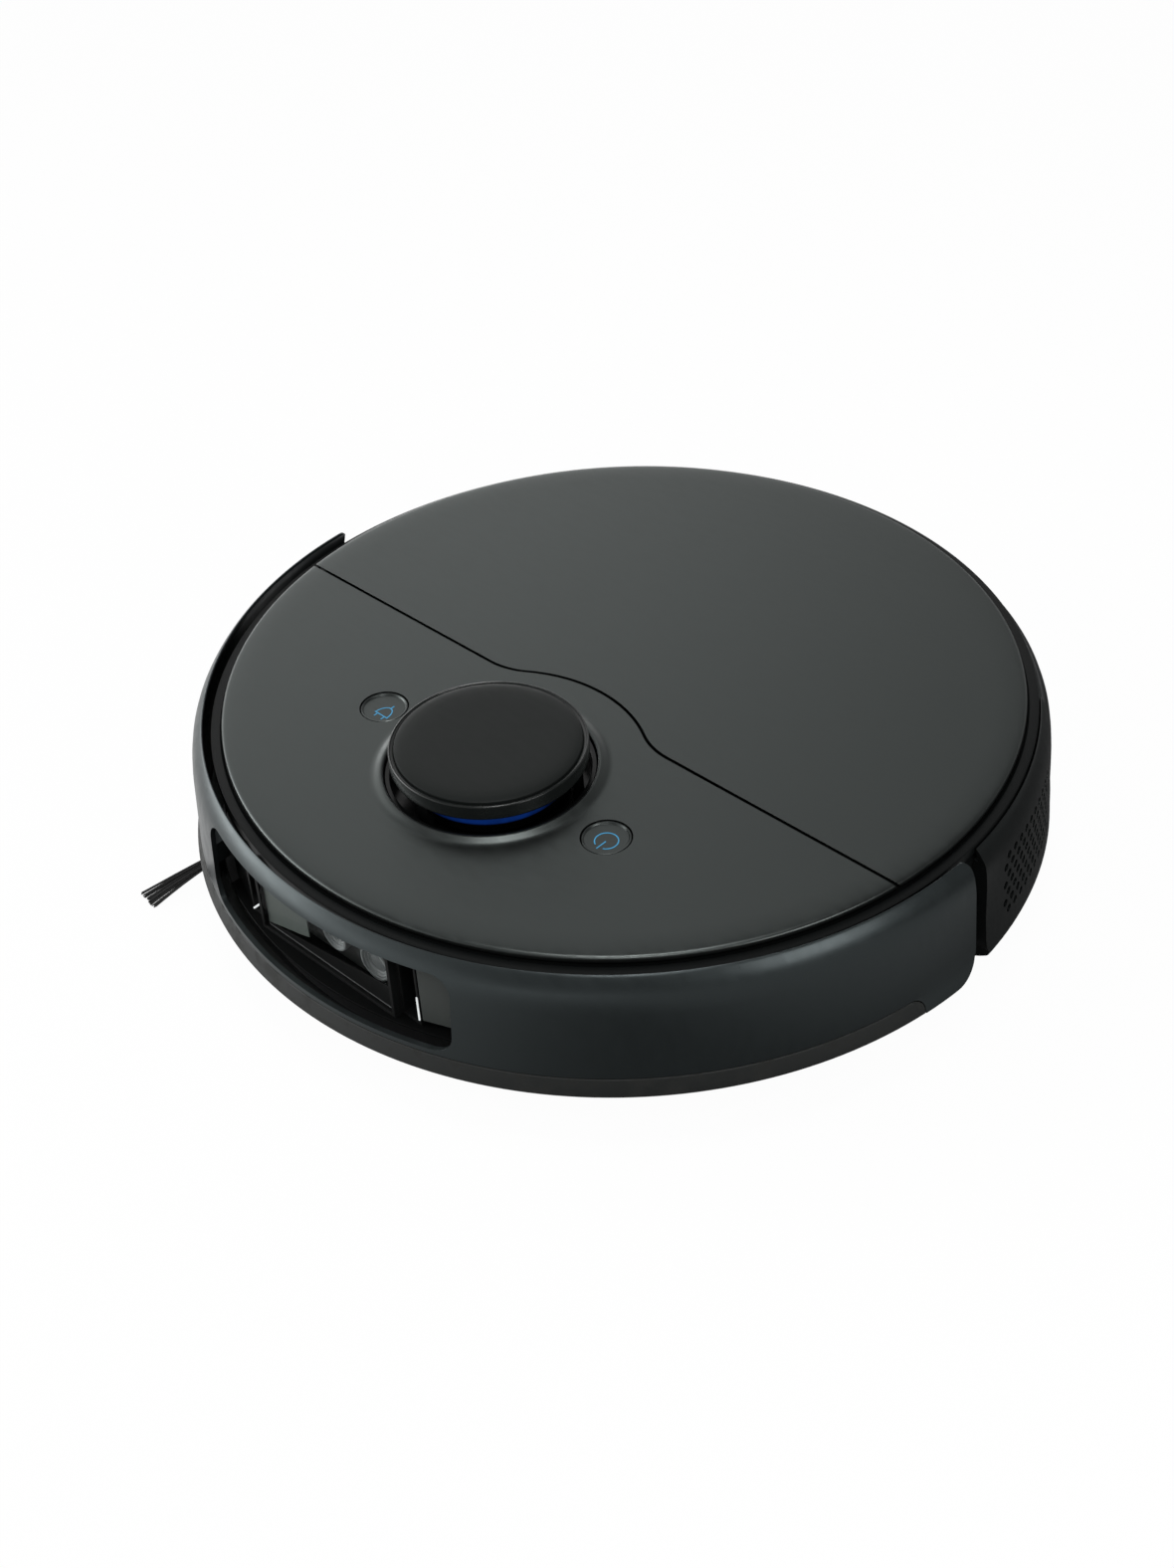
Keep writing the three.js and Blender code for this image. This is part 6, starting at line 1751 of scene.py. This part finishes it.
@dataclass
class Brushes:
    """The main roller under the body and the side brush at its front corner."""

    roller: tuple[float, float, float, float] = (-82.0, 62.0, 2.0, 19.6)
    fins: int = 5
    fin: tuple[Pair, ...] = (
        (-30, 8.5), (-16, 8.7), (-7, 10.4), (-3.6, 13.5), (-3.2, 16.9), (-4.4, 17.3), (-3.6, 17.95),
        (0, 18.0),
        (3.6, 17.95), (4.4, 17.3), (3.2, 16.9), (3.6, 13.5), (7, 10.4), (16, 8.7), (30, 8.5),
    )
    twist: float = 70.0
    steps: int = 48
    guard_ribs: tuple[float, ...] = (-52.0, -21.5, 9.0, 39.5)
    guard_tabs: Pair = (-60.0, 40.0)
    side: Pair = SIDE_BRUSH
    reach: float = 69.0
    root: float = 24.1
    hair_half: float = 0.24
    hair_steps: int = 6
    first: float = -100.0
    hairs: int = 46
    seed: int = 11

    def roller_piece(self) -> None:
        """The rubber roller: its fins sweep to a V in the middle, and have a bead along their tips."""
        x0, x1, y, z = self.roller
        outline: list[Pair] = []
        for fin in range(self.fins):
            turn = fin * 360 / self.fins
            for degrees, r in self.fin:
                outline += arc((0, 0), r, turn + degrees, turn + degrees, 1)[:1]
        roller = prism(outline, x0, x0 + 1)
        mesh = roller.obj.data
        length = x1 - x0
        roller.pick_faces(lambda middle, normal: normal.z > 0.9 and middle.z > x0 + 0.5)
        with roller.editing("KEEP"):
            for _ in range(self.steps - 1):
                bpy.ops.mesh.extrude_region_move(TRANSFORM_OT_translate={"value": (0, 0, 0.1 * MM)})
        rings = sorted({round(v.co.z / MM, 3) for v in mesh.vertices})
        for vertex in mesh.vertices:
            share = rings.index(round(vertex.co.z / MM, 3)) / (len(rings) - 1)
            sweep = math.radians(self.twist) * (1 - abs(2 * share - 1))
            vertex.co.z = share * length * MM
            vertex.co.xy = Matrix.Rotation(sweep, 2) @ vertex.co.xy
        roller.outwards().rotated(90, "X").rotated(90, "Z").moved(x0, y, z)
        place(roller, "rubber_roller", "main_brush", "rubber", Coat.FIN, "brush_roller", angle=50)
        shaft = from_cad("brush_shaft", 0.3)
        place(shaft, "roller_shaft", "main_brush", "grey_plastic", Coat.GREY, "brush_shaft")

    def guard(self) -> None:
        """The frame that holds the roller in, with a rubber lip, crossing ribs and two latches."""
        guard = from_cad("brush_cover", 0.35)
        x0, x1, y, _ = self.roller
        for x in self.guard_ribs:
            rib = block((x - 1.0, x + 1.0), (y - 20, y + 20), (8.2, 9.4)).soften(0.3, 1)
            guard.gather(rib)
        for x in self.guard_tabs:
            tab = block((x - 9, x + 9), (y - 27.5, y - 21.5), (7.9, 9.0)).soften(0.4, 2)
            guard.gather(tab)
        place(guard, "roller_guard", "chassis", "matte_black", Coat.BLACK, "brush_cover")
        lip = block((x0 + 4, x1 - 4), (y + 19.4, y + 20.6), (5.8, 9.0)).soften(0.3, 2)
        place(lip, "sweeping_lip", "chassis", "rubber", Coat.RUBBER)

    def side_hub(self) -> None:
        """The side brush's hub with a screw and its three arms."""
        section = [
            (0.0, 4.2), (1.6, 4.2), (1.6, 4.8), (4.2, 4.8), (4.2, 4.2), (7, 4.2), (9.6, 4.6), (12.4, 5.6),
            (13, 6.2), (13, 9.1), (12, 9.7), (4, 9.7), (4, 18), (0.0, 18)
        ]
        hub = turned(section, 64)
        for turn in (0, 120, 240):
            arm = prism(
                [(8, -5), (14, -4.2), (20, -3.4), (24, -3), (24, 3), (20, 3.4), (14, 4.2), (8, 5)], 5, 8.6
            )
            arm.soften(0.6, 3)
            for y in (-1.1, 1.1):
                rib = block((13, 23), (y - 0.35, y + 0.35), (4.6, 5.4)).soften(0.15, 1)
                arm.gather(rib)
            hub.gather(arm.rotated(self.first + turn))
        place(hub.moved(*self.side), "side_hub", "side_brush", "grey_plastic", Coat.RUBBER, "side_brush_hub")

    def tuft(self, number: int) -> Form:
        """One tuft of stiff hairs that fan out and droop to the floor.

        Args:
            number: which of the three tufts it is.

        Returns:
            All its hairs in one mesh.
        """
        draw = random.Random(self.seed + number)
        made: list[Form] = []
        start, steps, half = self.root, self.hair_steps, self.hair_half
        for _ in range(self.hairs):
            across = draw.uniform(-1, 1)
            reach = self.reach - draw.uniform(0, 1.2) - 0.3
            rise = draw.uniform(0, 1)
            circle = [
                (start, across * 1.25 + half * c, 6.9 + 0.55 * rise + half * s)
                for c, s in arc((0, 0), 1, 45, 405, 4)[:-1]
            ]
            hair = loop(circle)
            with hair.editing():
                bpy.ops.mesh.edge_face_add()
                for step in range(1, steps + 1):
                    share, last = step / steps, (step - 1) / steps
                    dx = (reach - start) / steps
                    dy = across * 4.5 * (share**1.3 - last**1.3)
                    dz = -(5.4 + 0.35 * rise) * (share**1.6 - last**1.6)
                    bpy.ops.mesh.extrude_region_move(
                        TRANSFORM_OT_translate={"value": (dx * MM, dy * MM, dz * MM)}
                    )
            made.append(hair)
        return made[0].gather(*made[1:]).outwards()

    def make(self) -> None:
        """Makes the roller, its guard and the side brush."""
        self.roller_piece()
        self.guard()
        self.side_hub()
        for i in range(3):
            tuft = self.tuft(i).rotated(self.first + 120 * i).moved(*self.side)
            place(
                tuft, f"bristle_tuft_{i + 1}", "side_brush", "bristle", Coat.BRISTLE,
                f"side_brush_tuft_{i + 1}"
            )


# ---------------------------------------------------------------- underside


@dataclass
class Underside:
    """Small pieces let into the underside: battery cover, contacts and cliff windows."""

    ribs: int = 5
    first_rib: float = -52.0
    rib_step: float = 2.6
    rib_half: Pair = (12.0, 0.45)

    def make(self) -> None:
        """Makes the battery cover with its grip lines, the contacts and the windows."""
        cover = from_cad("battery_cover", 0.3)
        half_x, half_y = self.rib_half
        for i in range(self.ribs):
            y = self.first_rib + self.rib_step * i
            rib = block((-half_x, half_x), (y - half_y, y + half_y), (9.7, 10.4)).soften(0.2, 1)
            cover.gather(rib)
        place(cover, "battery_door", "chassis", "chassis", Coat.CHASSIS, "battery_cover")
        for label in ("left", "right"):
            plate = from_cad(f"charge_contact_{label}", 0.25)
            place(
                plate, f"contact_plate_{label}", "chassis", "contact", Coat.CONTACT, f"charge_contact_{label}"
            )
            pane = from_cad(f"cliff_window_{label}", 0.2)
            place(
                pane, f"cliff_pane_{label}", "chassis", "smoked_glass", Coat.SENSOR, f"cliff_window_{label}"
            )


# ---------------------------------------------------------------- dust box and tank


@dataclass
class DustAndWater:
    """The dust box under the lid, and the water tank that slides out at the back."""

    ring: float = 162.6
    front_y: float = 100.5
    wall: float = 2.2
    top: float = 65.7
    release: Triple = (18.0, 38.0, 52.0)
    recess: Triple = (54.0, 57.0, 162.95)
    filler: Triple = (62.0, 128.0, 9.0)

    def box_pieces(self) -> None:
        """The dust box with its pleated filter and two latches."""
        place(from_cad("dust_box", 0.4), "dust_bin", "chassis", "dust_box", Coat.BIN, "dust_box")
        place(from_cad("dust_filter", 0.0), "pleated_filter", "chassis", "filter", Coat.PAPER, "dust_filter")
        for side in (1, -1):
            latch = block((side * 40 - 6, side * 40 + 6), (38, 44), (68.2, 69.0)).soften(0.3, 2)
            place(latch, f"bin_latch_{'left' if side > 0 else 'right'}", "chassis", "grey_plastic", Coat.GREY)

    def outside(self) -> list[Pair]:
        """Outside of the tank's wall, from the underside to under the ring."""
        points = [
            (self.ring - 4.6, 10.0), (self.ring - 2, 10.3), *BODY[:-3], (164.6, 65.2), (163.6, self.top)
        ]
        return [(0.0, 10.0), *points, (0.0, self.top)]

    def tank(self) -> None:
        """The tank: a smooth hollow body with its finger recess, button surround and filler hole."""
        body = turned(self.outside()).within(block((-FAR, FAR), (self.front_y, FAR), TALL))
        hollow = turned(
            [
                (0.0, 12.2), (159.6, 12.2), (163.6, 19), (167.2, 26), (168, 32), (167.2, 44.6), (165, 59.6),
                (160.6, 63.5), (0.0, 63.5)
            ],
            120
        )
        width, z0, y0 = self.recess
        recess = standing(rounded_rectangle(width, 40, 6, (0.0, z0 + 20)), y0, FAR)
        hollow.within(block((-FAR, FAR), (self.front_y + self.wall, FAR), TALL))
        hollow.cut(
            standing(
                rounded_rectangle(width + 2 * self.wall, 40, 6, (0.0, z0 + 20 - self.wall)), y0 - self.wall,
                FAR
            )
        )
        half, low_z, high_z = self.release
        surround = block(
            (-half - 3, half + 3), (155.6, 172), (low_z - 3, high_z + 3)
        ).within(turned(self.outside(), FINE))
        body.cut(hollow).join(surround)
        body.cut(block((-half - 0.3, half + 0.3), (158.3, FAR), (low_z - 0.3, high_z + 0.3)), recess)
        x, y, r = self.filler
        body.cut(rod("Z", r, (60, 70), (x, y), 48))
        body.weld(0.03).soften(0.5, 3, 40)
        place(body, "tank_body", "tank", "shell", Coat.SHELL, "water_tank")

    def release_button(self) -> None:
        """The release button in the middle of the tank, with three grip grooves."""
        half, low_z, high_z = self.release
        button = block((-half, half), (161.6, 175), (low_z, high_z)).within(turned(self.outside(), FINE))
        for i in (-1, 0, 1):
            z = 45.0 + 3 * i
            button.cut(standing(rounded_rectangle(24, 1.2, 0.59, (0.0, z), 4), 168.4, 176))
        place(
            button.weld().soften(0.5, 3, 40), "release_button", "tank_release", "shell", Coat.SHELL,
            "tank_release"
        )

    def plug(self) -> None:
        """The rubber plug of the filler, with a grip hollow and a pull tab."""
        x, y, r = self.filler
        top = self.top - 0.2
        section = [
            (0.0, top - 3.6), (r - 1.6, top - 3.6), (r - 0.3, top - 2.4), (r - 0.3, top - 0.4),
            (r - 0.7, top), (5, top), (4.2, top - 0.3), (3.8, top - 0.9), (0.0, top - 0.9)
        ]
        plug = turned(section, 48)
        plug.gather(block((-3.4, 3.4), (-0.7, 0.7), (top - 1.2, top - 0.1)).soften(0.3, 2))
        place(plug.moved(x, y), "filler_plug", "tank", "rubber", Coat.RUBBER, "tank_plug")

    def make(self) -> None:
        """Makes the dust box, the tank, its release and its plug."""
        self.box_pieces()
        self.tank()
        self.release_button()
        self.plug()


# ---------------------------------------------------------------- works inside


@dataclass
class Works:
    """Springs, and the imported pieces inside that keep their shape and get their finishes."""

    coats: tuple[tuple[str, Coat], ...] = (
        ("hinge_pin_left", Coat.STEEL),
        ("hinge_pin_right", Coat.STEEL),
        ("lidar_motor", Coat.STEEL),
        ("lidar_belt", Coat.RUBBER),
        ("motor_pulley", Coat.GREY),
        ("battery_pack", Coat.CELL),
        ("main_board", Coat.BOARD),
        ("fan_impeller", Coat.GREY),
    )
    boxes: tuple[tuple[str, Coat, str, str], ...] = (
        ("fan_housing", Coat.GREY, "fan_scroll", "grey_plastic"),
        ("brush_gearbox", Coat.CHASSIS, "roller_gearbox", "chassis"),
        ("side_brush_gearbox", Coat.CHASSIS, "side_gearbox", "chassis"),
    )

    def springs(self) -> None:
        """The coil springs of the bumper and of the drive arms."""
        for side, label in ((1, "left"), (-1, "right")):
            drive = coil(
                3.9, 0.7, (low(f"{label}_drive_spring").z, high(f"{label}_drive_spring").z), 5,
                (side * 99, 18)
            )
            place(
                drive, f"{label}_arm_spring", "chassis", "steel", Coat.STEEL, f"{label}_drive_spring",
                angle=60
            )
            push = coil(3.0, 0.45, (0.3, 11.7), 5, (0, 0)).rotated(-90, "X").moved(side * 72, -150, 47)
            place(
                push, f"bumper_coil_{label}", "chassis", "steel", Coat.STEEL, f"bumper_spring_{label}",
                angle=60
            )
            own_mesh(push.obj)

    def make(self) -> None:
        """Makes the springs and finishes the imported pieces."""
        self.springs()
        for node, coat, name, slot in self.boxes:
            place(from_cad(node, 0.4), name, "chassis", slot, coat, node)
        for node, coat in self.coats:
            dress(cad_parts[node], coat)
            log.info("%s keeps its packed shape", node)


# ---------------------------------------------------------------- studio


@dataclass
class Studio:
    """The floor, the lamps and the camera."""

    azimuth: float = 46.08
    elevation: float = 39.741
    distance: float = 925.62
    lens: float = 51.86
    sensor: float = 36.0
    aim_right: float = -16.29
    aim_up: float = 20.136
    roll: float = -3.771
    floor_size: float = 12.0
    floor_shade: float = 0.03
    floor_tone: tuple[float, float, float, float] = (0.13, 0.13, 0.13, 1.0)
    gloss_share: float = 0.12
    left: Pair = (-0.694, -0.72)
    bright_side: Pair = (-0.95, 0.3)
    lamps: tuple[tuple[str, float, float, Triple], ...] = (
        ("left_lamp", 8.0, 0.9, (-1.05, -0.75, 0.4)),
        ("right_lamp", 3.5, 0.5, (1.1, -0.1, 0.5)),
        ("edge_lamp", 2.5, 0.3, (0.5, -0.5, 1.0)),
        ("top_lamp", 4.0, 0.3, (0.05, -0.05, 1.3)),
    )

    def floor(self) -> None:
        """A wide floor that shows white and keeps a faint shadow, paler on the camera's left for gloss."""
        bpy.ops.object.select_all(action="DESELECT")
        bpy.ops.mesh.primitive_plane_add(size=self.floor_size)
        plane = bpy.context.object
        plane.name = "studio_floor"
        tree = Tree(bpy.data.materials.new("pale_floor"))
        shown, glossy = tree.rays()
        aside = tree.axis("X") * self.left[0] + tree.axis("Y") * self.left[1]
        patch = tree.axis("X").ramp(0.19, 0.235, 0.0, 0.36) * tree.axis("Y").ramp(0.13, 0.08)
        gloss = glossy * (aside.ramp(0.0, 0.25, 0.01, 0.8) + patch)
        colour = tree.blend(shown, self.floor_tone, WHITE)
        lit = tree.node("ShaderNodeBsdfDiffuse", None, {"Color": colour}).outputs[0]
        white = tree.node("ShaderNodeEmission", None, {"Color": WHITE, "Strength": 1.0}).outputs[0]
        factor = shown * (1 - self.floor_shade) + gloss
        shader = tree.node("ShaderNodeMixShader", None, {0: factor, 1: lit, 2: white}).outputs[0]
        plane.data.materials.append(tree.finish(shader))

    def sky(self) -> None:
        """A surround that shows white, and lights softly from the camera's left and from behind."""
        world = bpy.data.worlds.new("pale_surround")
        bpy.context.scene.world = world
        tree = Tree(world)
        heading = tree.node("ShaderNodeSeparateXYZ", None, {0: tree.coordinates["Generated"]})
        x, y, z = (Wire(tree, socket) for socket in heading.outputs)
        aside = x * self.bright_side[0] + y * self.bright_side[1]
        across = x * -self.left[0] + y * -self.left[1]
        strength = aside.ramp(-0.6, 0.7, 0.06, 1.16) * across.ramp(-0.05, 0.3, 1.0, 0.3)
        strength = strength * z.ramp(0.58, 0.88, 1.0, 0.05) * z.ramp(0.10, 0.30, 3.4, 1.0)
        shown, glossy = tree.rays()
        sockets: dict[Value, Value] = {0: shown + glossy * self.gloss_share}
        for i, value in ((1, strength), (2, 1.0)):
            light = tree.node("ShaderNodeBackground", None, {"Color": WHITE, "Strength": value})
            sockets[i] = light.outputs[0]
        tree.finish(tree.node("ShaderNodeMixShader", None, sockets).outputs[0])

    def lamp(self, name: str, watts: float, size: float, at: Triple, aim: Triple = (0.0, 0.0, 0.04)) -> None:
        """One soft square lamp.

        Args:
            name: its name.
            watts: its power.
            size: its side in metres.
            at: its place in metres.
            aim: the point that it faces.
        """
        data = bpy.data.lights.new(name, "AREA")
        data.energy = watts
        data.size = size
        lamp = bpy.data.objects.new(name, data)
        bpy.context.scene.collection.objects.link(lamp)
        lamp.location = at
        lamp.rotation_euler = (Vector(at) - Vector(aim)).to_track_quat("Z", "Y").to_euler()

    def camera(self) -> None:
        """The camera at the robot's front left corner, looking down."""
        a, e = math.radians(self.azimuth), math.radians(self.elevation)
        back = Vector((math.sin(a) * math.cos(e), -math.cos(a) * math.cos(e), math.sin(e)))
        right = Vector((math.cos(a), math.sin(a), 0.0))
        target = right * self.aim_right * MM + Vector((0.0, 0.0, self.aim_up * MM))
        data = bpy.data.cameras.new("camera")
        data.lens = self.lens
        data.sensor_width = self.sensor
        data.clip_start = 0.01
        camera = bpy.data.objects.new("camera", data)
        bpy.context.scene.collection.objects.link(camera)
        turn = Euler((math.radians(90) - e, 0.0, a)).to_matrix() @ Matrix.Rotation(
            math.radians(self.roll), 3, "Z"
        )
        camera.matrix_world = Matrix.Translation(target + back * self.distance * MM) @ turn.to_4x4()
        bpy.context.scene.camera = camera

    def make(self) -> None:
        """Sets up the studio."""
        self.floor()
        self.sky()
        for name, watts, size, at in self.lamps:
            self.lamp(name, watts, size, at)
        self.camera()
        bpy.context.scene.view_settings.view_transform = "Standard"


def main() -> None:
    """Builds every sub-assembly in turn."""
    logging.basicConfig(level=logging.INFO, format="%(message)s")
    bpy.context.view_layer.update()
    outside = (Covers, InnerBody, SideShells, Bumper, CameraBay, Turret, Buttons)
    for assembly in (*outside, Wheels, Brushes, Underside, DustAndWater, Works, Studio):
        assembly().make()


if __name__ == "__main__":
    main()
